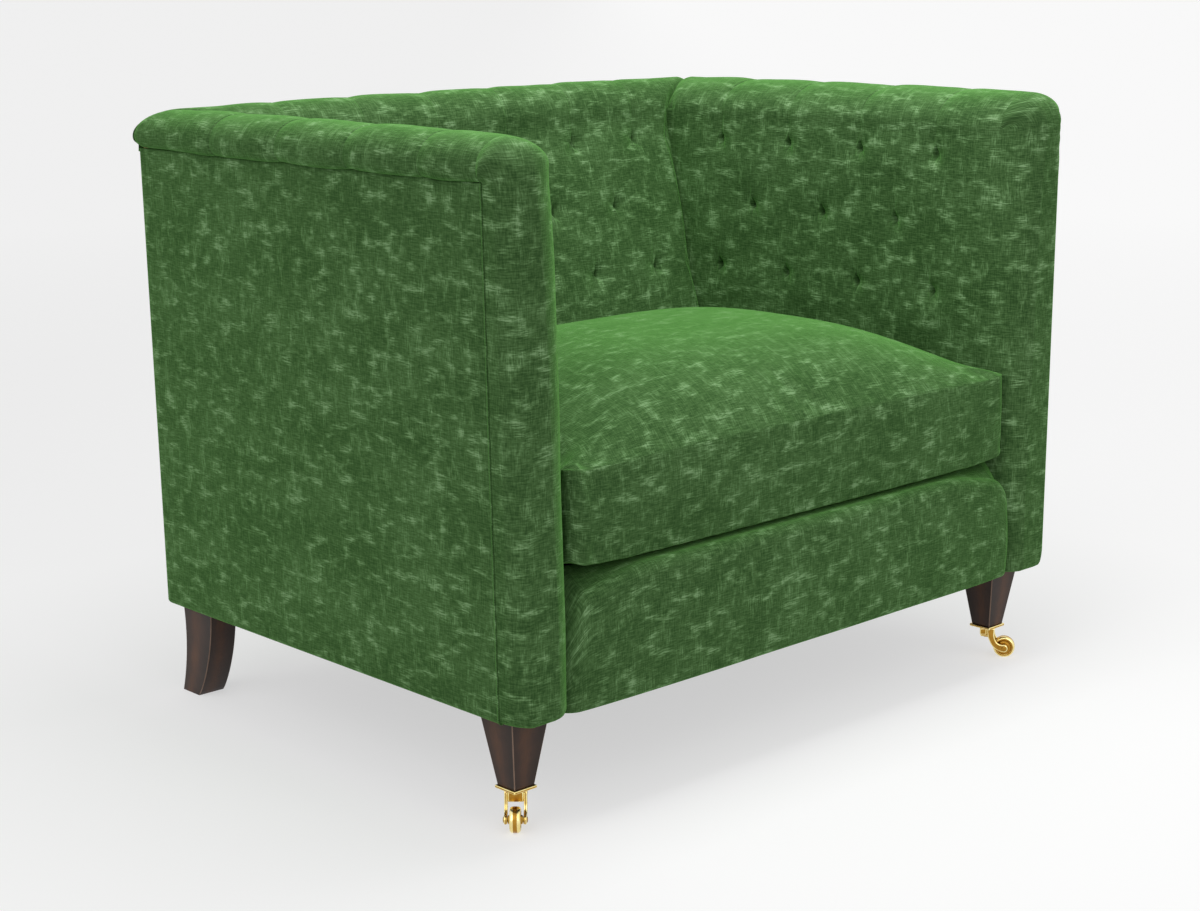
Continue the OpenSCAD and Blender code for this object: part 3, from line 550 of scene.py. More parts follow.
def part_way(value, start, span):
    """How far a value has gone from start over a span, from 0 to 1."""
    return np.clip((value - start) / span, 0, 1)


def bell(value, width):
    return np.exp(-(value / width) ** 2)


def arm_out(z):
    return out_x + arm_lean * (z - base_z) / (lip_z - base_z)


def back_out(z):
    return back_y - back_lean * (z - base_z) / (lip_z - base_z)


def close_up(mesh):
    """Joins edges that meet, fills what is still open and turns every face outwards."""
    rim = [v for v in mesh.verts if v.is_boundary]
    bmesh.ops.remove_doubles(mesh, verts=rim, dist=1e-5)
    open_edges = [e for e in mesh.edges if e.is_boundary]
    filled = bmesh.ops.holes_fill(mesh, edges=open_edges, sides=0)["faces"]
    for edge in open_edges:
        edge.smooth = False
    bmesh.ops.triangulate(mesh, faces=filled)
    bmesh.ops.recalc_face_normals(mesh, faces=mesh.faces)
    return mesh

def on_side(side, mesh):
    """A piece made for the right side, mirrored if it is for the left."""
    if side == "left":
        bmesh.ops.scale(mesh, vec=(-1, 1, 1), verts=mesh.verts)
        bmesh.ops.reverse_faces(mesh, faces=mesh.faces)
    return mesh


def panel_height(v):
    """Height and inward turn of a panel's row: the first rows turn under the bottom edge."""
    rows = np.concatenate([np.linspace(0, turn_share, 9),
                           np.linspace(turn_share, 1, panel_steps - 7)[1:]])
    share = np.interp(v, np.linspace(0, 1, len(rows)), rows)
    turn = np.clip(share / turn_share, 0, 1) * math.pi / 2
    rise = (share - turn_share) / (1 - turn_share)
    z = base_z + np.where(share < turn_share, turn_under * (1 - np.cos(turn)),
                          turn_under + (lip_z - base_z - turn_under) * rise)
    return share, z, np.where(share < turn_share, turn_under * (1 - np.sin(turn)), 0)


def outside_arm_place(u, v):
    _, z, inset = panel_height(v)
    side, rear = arm_out(z) - inset, back_out(z) - inset
    start = seam_y - stitch_lap
    straight = rear - corner_r - start
    along = spread(u, 0, 1, arm_panel_steps, (0.0, 1.0), 0.012, 12)
    run = along * (straight + corner_r * math.pi / 2)
    angle = np.clip((run - straight) / corner_r, 0, math.pi / 2)
    swell = panel_swell * np.sin(np.pi * part_way(run, 0, straight)) * np.sin(np.pi * v)
    ridge = stitch_ridge * bell(run - stitch_lap, stitch_wide) + hem_high * (run < hem_wide)
    x = side - corner_r + corner_r * np.cos(angle) + swell + ridge
    y = start + np.minimum(run, straight) + corner_r * np.sin(angle)
    return np.stack([x, y, z], 1), np.stack([-run, z], 1)


def outside_back_place(u, v):
    share, z, inset = panel_height(v)
    half = arm_out(z) - corner_r - back_gap
    along = spread(u, 0, 1, back_panel_steps, (0.0, 1.0), 0.01, 6)
    x = (2 * along - 1) * half
    edge = part_way(half - np.abs(x), 0, back_edge)
    swell = panel_swell * np.sin(np.pi * along) * np.sin(np.pi * share)
    y = back_out(z) - inset + swell - tack_dip * (1 - edge) ** 2
    return np.stack([x, y, z], 1), np.stack([x, z + 2.0], 1)


for side in ("right", "left"):
    panel = on_side(side, cloth_grid(arm_panel_steps, panel_steps, outside_arm_place))
    made = finish_piece(panel, f"outside_arm_cover_{side}", cover_cloth, "chair")
    thicken(made, panel_t, -1.0)
    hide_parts(f"outside_arm_{side}")
rear_panel = cloth_grid(back_panel_steps, panel_steps, outside_back_place)
bmesh.ops.reverse_faces(rear_panel, faces=rear_panel.faces)
made = finish_piece(rear_panel, "outside_back_cover", cover_cloth, "chair")
thicken(made, panel_t, -1.0)
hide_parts("outside_back")

# The inside arms and inside back: cover cloth over fibre and foam, drawn in by twine at each tuft,
# where it folds over itself, and pleated upwards from the top row, over the roll and under its lip.
in_x = 0.414
corner_y = 0.2825
pad_foot = 0.291
row_top = 0.749
row_pitch = 0.099
top_z = 0.838
rake_slope = math.tan(math.radians(13.8))
arm_crest_x = 0.490
arm_lip_x = 0.534
back_crest_y = 0.3307
back_lip_y = 0.3645
inner_roll_z = 0.790
outer_roll_z = 0.803
lip_under = 0.0080
lip_turn = 0.0146
swell_h = 0.006
press_z = 0.43
press_h = 0.09
press_in = 0.002
tuft_broad = 0.0038
tuft_wide = 0.021
tuft_near = 0.0026
tuft_close = 0.008
tuft_tall = 1.1
pit_depth = 0.0092
pit_high = 0.0098
pit_edge = 0.0011
pit_fade = 0.0080
sickle_back = 0.0016
sickle_bend = 0.0045
sickle_tall = 0.012
fold_lip = 0.0026
fold_wide = 0.0020
fold_up = 0.005
fold_tall = 0.017
crease_curl = 6.0
crease_rise = 0.35
tuft_creases = ((97, 0.027, 0.0034, 0.0019), (-42, 0.021, 0.0026, 0.0020),
                (-135, 0.020, 0.0036, 0.0011), (12, 0.017, 0.004, 0.0008),
                (168, 0.017, 0.004, 0.0007))
arm_tufts = 4
back_tufts = 6
arm_mid_y = (seam_y + corner_y) / 2
arm_pitch = (corner_y - seam_y) / (arm_tufts + 0.5)
back_pitch = 0.1308
back_half = 0.410
pad_back_x = 0.4790
pad_rail_z = 0.7905
back_rows = 4
pad_back_z = np.array([pad_rail_z, pad_rail_z, 0.55, pad_foot])
lip_rows = 5
face_rows = 190
roll_rows = 56
arm_columns = 300
back_columns = 430
tuft_reach = 0.013
tuft_crowd = 2.6
pleat_step = 0.0013
pleat_broad = 0.0016
pleat_hook = 0.011
pleat_edge = 0.0016
pleat_fade = 0.008
pleat_wide = 0.016
hook_from = 0.72
tuck_in = np.array([0.0005, 0.0025, 0.0042, 0.0050, 0.0052])
tuck_z = np.array([0.7884, 0.7884, 0.7874, 0.7820, 0.7780])
arm_open = 0.02
ripple = 0.0008
notch_deep = 0.0110
mitre_gap = 0.0008
mitre_from = 0.05
mitre_fall = 0.0060
roll_gap = 0.0002
corner_low_r = 0.056
corner_growth = 0.045
arm_behind_x = np.array([0.508, pad_back_x, pad_back_x, pad_back_x])
back_behind_y = np.array([0.345, 0.3245, 0.287, 0.2445])


def tuft_list(count, pitch, middle):
    """Places along the pad and heights of the tufts, in three staggered rows."""
    found = []
    for row in range(3):
        n = count - 1 if row == 1 else count
        found += [(middle + (i - (n - 1) / 2) * pitch, row_top - row * row_pitch) for i in range(n)]
    return found


def drawn_in(along, up, tufts, sense):
    """How far the twines draw the cloth in. At each tuft the cloth folds over a sickle-shaped pit."""
    depth = np.zeros_like(along)
    for k, (place, height) in enumerate(tufts):
        da, dz = sense * (along - place), up - height
        near = np.hypot(da, dz / tuft_tall)
        depth += tuft_broad * bell(near, tuft_wide) + tuft_near * np.exp(-near / tuft_close)
        sickle = da + sickle_back - sickle_bend * (1 - bell(dz, sickle_tall))
        tall = np.exp(-(np.abs(dz) / pit_high) ** 2.5)
        drop = np.clip(sickle / pit_edge + 0.5, 0, 1) * np.exp(-np.maximum(sickle, 0) / pit_fade)
        depth += pit_depth * drop * tall
        depth -= fold_lip * bell(sickle + sickle_back, fold_wide) * bell(dz - fold_up, fold_tall)
        for degrees, reach, width, pull in tuft_creases:
            lean = math.radians(degrees + 6 * math.sin(5.1 * k + degrees))
            out = da * math.cos(lean) + dz * math.sin(lean)
            across = -da * math.sin(lean) + dz * math.cos(lean) + crease_curl * out * out
            fade = bell(np.maximum(out, 0), reach) * bell(np.minimum(out, 0), width)
            beside = bell(across + 1.6 * width, width)
            depth += pull * fade * (bell(across, width) - crease_rise * beside)
    return depth


def pleats(along, over, count, pitch, middle, sense):
    """Depth of the pleats over the roll, one above each tuft of the top row, which hook at the lip."""
    depth = np.zeros_like(along)
    hook = pleat_hook * part_way(over, hook_from, 1 - hook_from) ** 2
    for i in range(count):
        da = sense * (along - (middle + (i - (count - 1) / 2) * pitch)) - hook
        fold = np.clip(da / pleat_edge + 0.5, 0, 1) * np.exp(-np.maximum(da, 0) / pleat_fade)
        depth += pleat_step * fold + pleat_broad * bell(da, pleat_wide)
    return depth


def pad_profile(start, crest_at, lip_at, panel_at):
    """Rows of a pad: place across and height, up the face, over the roll and under its lip."""
    rows = [row_top - k * row_pitch for k in range(3)]
    face_z = crowded(pad_foot, inner_roll_z, face_rows - 1, rows, tuft_reach, tuft_crowd)
    inner = np.radians(np.linspace(180, 90, roll_rows // 2 + 1)[1:])
    outer = np.radians(np.linspace(90, -90, roll_rows // 2 + 1)[1:])
    face_a = start(face_z)
    first = face_a[-1]
    inner_a = crest_at + (crest_at - first) * np.cos(inner)
    inner_z = inner_roll_z + (top_z - inner_roll_z) * np.sin(inner)
    above = np.sin(outer) > 0
    outer_a = np.where(above, crest_at + (lip_at - crest_at) * np.cos(outer),
                       lip_at - lip_under * (1 - np.cos(outer)))
    outer_z = outer_roll_z + np.where(above, top_z - outer_roll_z, lip_turn) * np.sin(outer)
    a = np.concatenate([face_a, inner_a, outer_a, panel_at - tuck_in])
    z = np.concatenate([face_z, inner_z, outer_z, tuck_z])
    return a, z


def arm_start(z):
    return in_x + arm_open * np.maximum(z - row_top, 0)


def back_start(z):
    over = np.clip(z - row_top, 0, inner_roll_z - row_top)
    eased = over - over ** 2 / (2 * (inner_roll_z - row_top))
    return corner_y + rake_slope * (np.minimum(z, row_top) - row_top) + rake_slope * eased


def ring_normals(a, z):
    """Outward normals of a profile that runs up the face and over the roll."""
    da, dz = np.gradient(a), np.gradient(z)
    length = np.hypot(da, dz)
    return -dz / length, da / length


def run_along(a, z):
    """Distance along a line to each of its points."""
    return np.concatenate([[0], np.cumsum(np.hypot(np.diff(a), np.diff(z)))])


arm_a, arm_z = pad_profile(arm_start, arm_crest_x, arm_lip_x, arm_out(lip_z))
back_a, back_z = pad_profile(back_start, back_crest_y, back_lip_y, back_out(lip_z))
pad_rows = len(arm_a)
arm_na, arm_nz = ring_normals(arm_a, arm_z)
back_na, back_nz = ring_normals(back_a, back_z)
arm_run = run_along(arm_a, arm_z)
back_run = run_along(back_a, back_z)
arm_tuft_places = tuft_list(arm_tufts, arm_pitch, arm_mid_y)
back_tuft_places = tuft_list(back_tufts, back_pitch, 0.0)


def swelling(along, up, row, half, middle, tufts, count, pitch, sense, foot):
    """How far the padding stands out from its profile at each point of the cloth."""
    flat_end = 1 - part_way(np.abs(along - middle), 0, half) ** 8
    on_face = part_way(row_top + 0.03 - up, 0, 0.05)
    over = part_way(row, face_rows, pad_rows - lip_rows - face_rows)
    pleated = np.where(row >= face_rows, 1, part_way(up, row_top, 0.02))
    puff = drawn_in(along, up, tufts, sense) * (row < face_rows)
    folds = pleats(along, over, count, pitch, middle, sense) * pleated * (1 - 0.35 * over)
    soft = ripple * np.sin(along * 41 + up * 17) * np.sin(up * 53 - along * 11)
    return (swell_h * foot * (0.35 + 0.65 * on_face) - folds + soft) * flat_end - puff


def pad_columns(u, start, end, count, places):
    """Places along a pad, with more columns at its tufts and its ends."""
    return spread(u, start, end, count, [*places, start, end], tuft_reach, tuft_crowd)


def rounded(share):
    """How far a quarter circle of radius 1 falls away at a share of its radius."""
    return 1 - np.sqrt(1 - share ** 2)


def pad_row(v):
    """Each point's row on the pad's face and roll, whether it lies behind them, and its row there."""
    row = np.rint(v * (pad_rows + back_rows)).astype(int) % (pad_rows + back_rows)
    return np.minimum(row, pad_rows - 1), row >= pad_rows, np.clip(row - pad_rows, 0, back_rows - 1)


def corner_radius(z):
    """Radius of the arm's soft inner front corner, which grows a little towards the roll."""
    return corner_low_r + corner_growth * np.clip(z - 0.26, 0, 0.55) + 0.006 * part_way(z, 0.70, 0.08)


def soft_corner(y, z, a):
    """How far the inside arm falls back from its face towards its front end."""
    r = corner_radius(z)
    reach = 1 - part_way(y, front_y, r)
    return r * rounded(reach) * part_way(arm_crest_x - a, 0, arm_crest_x - in_x) ** 0.5


def arm_pad_place(u, v):
    face, hidden, extra = pad_row(v)
    a, z = arm_a[face], arm_z[face]
    behind = back_a[face] + np.where(face < face_rows, 0.012, -roll_gap)
    start, end = seam_y + 0.0001, corner_y + 0.012
    fixed = np.minimum(behind, corner_y) - 0.03
    places = [arm_mid_y + k * arm_pitch / 2 for k in range(1 - arm_tufts, arm_tufts)]
    line = pad_columns(u, start, end, arm_columns, places)
    y = np.where(line < fixed, line, fixed + (line - fixed) * (behind - fixed) / (end - fixed))
    free = part_way(z, press_z, press_h)
    out = swelling(y, z, face, corner_y - arm_mid_y, arm_mid_y, arm_tuft_places, arm_tufts, arm_pitch,
                   -1, free) - press_in * (1 - free)
    out = out - 0.005 * (1 - part_way(behind - y, 0, 0.020)) ** 2 * (face >= face_rows)
    x = np.where(hidden, arm_behind_x[extra], a + arm_na[face] * out + soft_corner(y, z, a))
    up = np.where(hidden, pad_back_z[extra], z + arm_nz[face] * out)
    return np.stack([x, y, up], 1), np.stack([y, arm_run[face] + 0.4], 1)


def back_pad_place(u, v):
    face, hidden, extra = pad_row(v)
    a, z = back_a[face], back_z[face]
    notch = notch_deep * (1 - np.abs(np.sin(np.pi * (row_top - z) / (2 * row_pitch)))) ** 1.6
    half = arm_a[face] - np.where(face < face_rows, mitre_gap + notch, roll_gap)
    places = [k * back_pitch / 2 for k in range(1 - back_tufts, back_tufts)]
    line = pad_columns(u, -in_x, in_x, back_columns, places)
    fixed = in_x - mitre_from
    stretched = fixed + (np.abs(line) - fixed) * (half - fixed) / (in_x - fixed)
    x = np.where(np.abs(line) < fixed, line, np.sign(line) * stretched)
    out = swelling(x, z, face, back_half, 0.0, back_tuft_places, back_tufts, back_pitch, 1,
                   part_way(z, pad_foot, 0.03))
    ends = half - np.abs(x)
    out = out - mitre_fall * (1 - part_way(ends, 0, np.where(face < face_rows, 0.011, 0.020))) ** 2
    y = np.where(hidden, back_behind_y[extra], a + back_na[face] * out)
    up = np.where(hidden, pad_back_z[extra], z + back_nz[face] * out)
    return np.stack([x, y, up], 1), np.stack([x + 3.0, back_run[face] + 0.4], 1)


for side in ("right", "left"):
    pad = on_side(side, close_up(cloth_grid(arm_columns, pad_rows + back_rows, arm_pad_place)))
    made = finish_piece(pad, f"inside_arm_cover_{side}", cover_cloth, "chair")
    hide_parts(f"inside_arm_{side}")
pad = close_up(cloth_grid(back_columns, pad_rows + back_rows, back_pad_place))
made = finish_piece(pad, "inside_back_cover", cover_cloth, "chair")
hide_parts("inside_back")

# The tuft buttons: small wooden buttons covered in the same cloth, drawn so far in on their twines
# that the folds of the cloth close over them.
button_dia = 0.011
button_thick = 0.0035
button_sunk = 0.0112


def buttons(places, at):
    """One mesh of domed buttons. at gives each one's place and the way that it faces."""
    mesh = bmesh.new()
    mesh.loops.layers.uv.new("cloth")
    for along, height in places:
        spot, facing = at(along, height)
        dome = bmesh.ops.create_uvsphere(mesh, u_segments=20, v_segments=10, radius=button_dia / 2)
        bmesh.ops.scale(mesh, vec=(1, 1, button_thick / button_dia), verts=dome["verts"])
        turn = facing.to_track_quat("Z", "Y").to_matrix()
        bmesh.ops.rotate(mesh, cent=(0, 0, 0), matrix=turn, verts=dome["verts"])
        bmesh.ops.translate(mesh, vec=spot, verts=dome["verts"])
    lay_cloth(mesh, lambda point: (point.x + point.y, point.z))
    return mesh


def on_arm(along, height):
    return Vector((arm_start(height) + button_sunk, along - 0.0015, height)), Vector((-1, 0, 0))


def on_back(along, height):
    facing = Vector((0, -1, rake_slope)).normalized()
    return Vector((along + 0.0015, back_start(height), height)) - facing * button_sunk, facing


for side in ("right", "left"):
    mesh = on_side(side, buttons(arm_tuft_places, on_arm))
    made = finish_piece(mesh, f"arm_tuft_buttons_{side}", cover_cloth, "chair")
    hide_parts(f"arm_buttons_{side}")
made = finish_piece(buttons(back_tuft_places, on_back), "back_tuft_buttons", cover_cloth, "chair")
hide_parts("back_buttons")

# The arm fronts: a cloth panel pulled round a padded post and gathered over the roll's end to the
# corner under the lip, then slip-stitched down the outside to the outside arm.
front_r = 0.023
end_drop = 0.050
foot_r = 0.009
front_bow = 0.0022
across_steps = 110
up_steps = 170
turn_steps = 40
gather_depth = 0.0012
gather_count = 9
gather_reach = 0.034
gather_wide = 0.024
toe_high = 0.028
toe_in = 0.010
shoulder_out = 0.006
shoulder_up = 0.004


def low_section(t, z):
    """A level section of the post's padding: across and behind the front, both in metres."""
    x_in = arm_start(z) + press_in * (1 - part_way(z, press_z, press_h))
    x_out, deep = arm_out(z), seam_y - front_y
    soft_r = corner_radius(z)
    first_angle = np.arcsin(1 - deep / soft_r)
    bend = soft_r * (math.pi / 2 - first_angle)
    flat = x_out - x_in - soft_r - front_r
    turn, leg = front_r * math.pi / 2, deep - front_r
    total = bend + flat + turn + leg
    run = t * total
    first = first_angle + np.clip(run / soft_r, 0, math.pi / 2 - first_angle)
    last = np.clip((run - bend - flat) / front_r, 0, math.pi / 2)
    x = x_in + soft_r * (1 - np.cos(first)) + np.clip(run - bend, 0, flat) + front_r * np.sin(last)
    depth = (soft_r * (1 - np.sin(first)) + front_r * (1 - np.cos(last))
             + np.clip(run - (total - leg), 0, leg))
    bow = front_bow * np.sin(np.pi * part_way(x, x_in, x_out - x_in)) * part_way(deep - depth, 0, 0.02)
    return x, depth - bow, run


roll_first = face_rows - 12
roll_section_x = arm_a[roll_first:pad_rows - lip_rows]
roll_section_z = arm_z[roll_first:pad_rows - lip_rows]
roll_section_run = run_along(roll_section_x, roll_section_z)
roll_section_run = roll_section_run / roll_section_run[-1]


def arm_front_place(u, v):
    level = v * (up_steps + turn_steps)
    climb = np.clip(level / up_steps, 0, 1)
    pivot_z = top_z - end_drop
    z = base_z + (pivot_z - base_z) * climb
    phi = np.clip((level - up_steps) / turn_steps, 0, 1) * math.pi / 2
    x_low, w_low, along = low_section(u, z)
    x_top = np.interp(u, roll_section_run, roll_section_x)
    x_top = x_top + soft_corner(seam_y, z, x_top)
    w_top = top_z - np.interp(u, roll_section_run, roll_section_z)
    blend = phi / (math.pi / 2)
    ease = blend * blend * (3 - 2 * blend)
    x = x_low + (x_top - x_low) * ease
    share_low = part_way(w_low, 0, seam_y - front_y)
    share_top = part_way(w_top, 0, end_drop)
    share = share_low + (share_top - share_low) * ease
    full = share_low + (share_top ** 2 - share_low) * ease
    y = seam_y - (seam_y - front_y) * (1 - full) * np.cos(phi)
    up = z + end_drop * (1 - share) * np.sin(phi)
    inset = foot_r * rounded(1 - part_way(z, base_z, foot_r)) * 0.8
    middle = (arm_start(z) + out_x) / 2
    off = x - middle
    x = x - np.sign(off) * np.minimum(inset, np.abs(off)) * np.clip(share * 3 + 0.2, 0, 1)
    y = y + inset * (1 - share)
    corner = (1 - part_way(z, base_z, toe_high)) ** 2 * part_way(x, middle, 0.055)
    x = x - toe_in * corner * (1 - share)
    fullness = part_way(x, middle, arm_lip_x - middle) ** 2 * np.sin(2 * phi)
    x = x + shoulder_out * fullness
    up = up + shoulder_up * fullness
    inwards, above = arm_lip_x - x, up - lip_z + (y - front_y)
    reach = np.hypot(inwards, above)
    angle = np.arctan2(above, inwards)
    gather = gather_depth * np.sin(gather_count * angle) * bell(reach - gather_reach, gather_wide)
    gather = gather * np.clip(share * 6, 0, 1) * (1 - np.clip(share * 1.1 - 0.4, 0, 1))
    y = y - gather * np.cos(phi)
    up = up + gather * np.sin(phi)
    place_up = z - pad_foot + 0.4 + end_drop * phi * (1 - share)
    return np.stack([x, y, up], 1), np.stack([seam_y - along, place_up], 1)


for side in ("right", "left"):
    front = on_side(side, close_up(cloth_grid(across_steps, up_steps + turn_steps, arm_front_place)))
    made = finish_piece(front, f"arm_front_cover_{side}", cover_cloth, "chair")
    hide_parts(f"arm_front_{side}")

# The front border: cloth over a padded rail under the seat, tacked below the rail and carried back
# over the top as the deck's front edge, just under the cushion. Its top corners are rounded off, and
# its ends run in under the soft corners of the arm fronts.
border_half = 0.4360
border_steps = 200
border_top = 0.3112
border_r = 0.016
border_foot_r = 0.006
border_bow = 0.0075
border_belly = 0.0030
shoulder_x = 0.300
shoulder_drop = 0.0180
end_r = 0.0360
end_low = 0.2000
end_turn = 0.0220
deck_rise = 0.008
rail_depth = 0.0412
deck_depth = 0.0725
deck_foot = 0.2700
border_ripple = 0.0008


def border_outline():
    """The border's outline as depth behind the front and height, from the tack line round."""
    points = [(0.025, base_z), (0.014, base_z), (border_foot_r, base_z)]
    points += [(border_foot_r * (1 - math.sin(a)), base_z + border_foot_r * (1 - math.cos(a)))
               for a in np.linspace(0.2, math.pi / 2, 8)]
    low = base_z + border_foot_r
    high = border_top - border_r
    points += [(-border_belly * math.sin(math.pi * k / 30), low + (high - low) * k / 30)
               for k in range(1, 30)]
    points += [(border_r * (1 - math.cos(a)), high + border_r * math.sin(a))
               for a in np.linspace(0, math.pi / 2, 18)]
    points += [(0.050, border_top - 0.002), (0.062, border_top - 0.005),
               (deck_depth, border_top - 0.014), (deck_depth, deck_foot), (rail_depth, deck_foot),
               (rail_depth, 0.200), (rail_depth, base_z + 0.002)]
    return np.array(points + [points[0]])


border_points = border_outline()
border_run = run_along(*border_points.T)


def border_place(u, v):
    x = (2 * spread(u, 0, 1, border_steps, (0.0, 1.0), 0.04, 5) - 1) * border_half
    reach = np.abs(x)
    row = np.rint(v * (len(border_points) - 1)).astype(int)
    depth, z = border_points[row, 0], border_points[row, 1]
    slope = np.clip((reach - shoulder_x) / (border_half - end_r - shoulder_x), 0, 1.2) ** 1.25
    end_fall = rounded(part_way(reach, border_half - end_r, end_r))
    top = end_low + (border_top - shoulder_drop * slope - end_low) * (1 - end_fall)
    lowered = (border_top - top) * part_way(z, base_z, border_top - base_z)
    lowered = lowered * part_way(0.040 - depth, 0, 0.022)
    lowered = lowered - deck_rise * part_way(reach, 0.28, 0.12) * part_way(depth, 0.030, 0.012)
    turned_in = end_turn * rounded(part_way(reach, border_half - end_turn, end_turn))
    bowed = border_bow * (reach / border_half) ** 8 + turned_in
    bowed = bowed * (1 - part_way(depth, 0, seam_y - front_y))
    wave = border_ripple * np.sin(x * 23) * np.sin(z * 40)
    y = front_y + depth + bowed + wave * (depth < 0.03)
    return np.stack([x, y, z - lowered], 1), np.stack([x + 6.0, border_run[row] + 0.6], 1)


border = close_up(cloth_grid(border_steps, len(border_points) - 1, border_place))
made = finish_piece(border, "front_border_cover", cover_cloth, "chair")
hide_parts("front_border")

# The bottom cloth: a thin spun black cloth, tacked under the rails to keep the dust in. It is cut
# round the spigots of the legs, and hangs a little in the middle.
dust_black = "#1b1b1c"
dust_grey = "#303133"
fibre = 0.0007
cloth_sag = 0.0035
cloth_turn = 0.004
spigot_gap = 0.0003
dust_step = 0.02
front_hole = (0.4432 - spigot_gap, 0.4928 + spigot_gap, -0.3562, -0.3100)
rear_hole = (0.4552 - spigot_gap, 0.4888 + spigot_gap, 0.2982, 0.3535)


def spun_cloth(name):
    """Spun polypropylene: fibres laid every way and pressed, dark and slightly uneven."""
    made, tree = new_material(name)
    where = add(tree, "ShaderNodeUVMap", uv_map="cloth").outputs[0]
    fibres = noise(tree, where, fibre, 3.0, Distortion=1.5)
    return surface(made, tree, {
        "Base Color": ramp(tree, fibres, (0, dust_black), (1, dust_grey)), "Roughness": 0.9,
        "Specular IOR Level": 0.2, "Normal": bumped(tree, fibres, 0.4, 0.0003)})


dust_low, dust_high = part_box("bottom_cloth")
dust_x = dust_high.x - cloth_turn


def stations(keys, step):
    """Places from the first key to the last, with every key among them, about a step apart."""
    parts = [np.linspace(a, b, max(2, int(round((b - a) / step)) + 1)) for a, b in zip(keys, keys[1:])]
    return np.concatenate([parts[0]] + [part[1:] for part in parts[1:]])


sides = sorted({s * x for s in (-1, 1) for x in (dust_x, *front_hole[:2], *rear_hole[:2])})
dust_xs = stations(sides, dust_step)
dust_ys = stations(sorted({dust_low.y, dust_high.y, *front_hole[2:], *rear_hole[2:]}), dust_step)


def bottom_place(u, v):
    x = dust_xs[np.rint(u * (len(dust_xs) - 1)).astype(int)]
    y = dust_ys[np.rint(v * (len(dust_ys) - 1)).astype(int)]
    sag = cloth_sag * (1 - np.abs(2 * u - 1) ** 3) * (1 - np.abs(2 * v - 1) ** 3)
    return np.stack([x, y, (dust_low.z + dust_high.z) / 2 - sag], 1), np.stack([x, y], 1)


dust = cloth_grid(len(dust_xs) - 1, len(dust_ys) - 1, bottom_place)
cut = []
for face in dust.faces:
    middle = face.calc_center_median()
    for x0, x1, y0, y1 in (front_hole, rear_hole):
        if x0 < abs(middle.x) < x1 and y0 < middle.y < y1:
            cut.append(face)
bmesh.ops.delete(dust, geom=cut, context="FACES")
bmesh.ops.reverse_faces(dust, faces=dust.faces)
dust_area = sum(face.calc_area() for face in dust.faces)
dust = finish_piece(dust, "bottom_dust_cloth", spun_cloth("spun_dust_cloth"), "chair")
thicken(dust, dust_high.z - dust_low.z)
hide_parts("bottom_cloth")

# The seat cushion: a boxed cover over a fibre-wrapped core, crowned high in the middle and pressed
# flat by the deck and the arms. Plain seams run round the top and the foot of its boxing.
cushion_half = 0.4320
pressed_half = 0.4150
cushion_front = -0.3895
cushion_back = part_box("seat_cushion")[1].y
cushion_lean = 0.014
deck_level = 0.3012
seam_low = 0.3168
rest_rise = 0.0112
seam_high = 0.4393
crown_h = 0.091
crown_power = 3.2
belly_h = 0.018
corner_front = 0.023
corner_back = 0.022
boxing_bulge = 0.0060
cushion_cuts = (108, 70, 22)
seam_crowd = 2.2
swell_limit = 0.008
seam_depth = 0.0003
seam_ridge = 0.0016
edge_soft = 0.032
edge_passes = 36
seam_wide = 0.0023
pucker = 0.0007
pucker_wide = 0.014
face_end = 0.9999
boxing_half = 0.062


def cushion_shell():
    """A cube cut fine and mapped to the cushion: its mesh, and each vertex's place on the cube."""
    mesh = bmesh.new()
    bmesh.ops.create_cube(mesh, size=2.0)
    for axis, cuts in enumerate(cushion_cuts):
        lines = [e for e in mesh.edges
                 if abs(e.verts[0].co[axis] - e.verts[1].co[axis]) > 1.9]
        bmesh.ops.subdivide_edges(mesh, edges=lines, cuts=cuts, use_grid_fill=True)
    cube = np.array([v.co for v in mesh.verts])
    for axis, cuts in enumerate(cushion_cuts):
        places = crowded(-1, 1, cuts + 1, (-1, 1), 0.10 if axis < 2 else 0.35, seam_crowd)
        cube[:, axis] = np.interp(cube[:, axis], np.linspace(-1, 1, cuts + 2), places)
    return mesh, cube


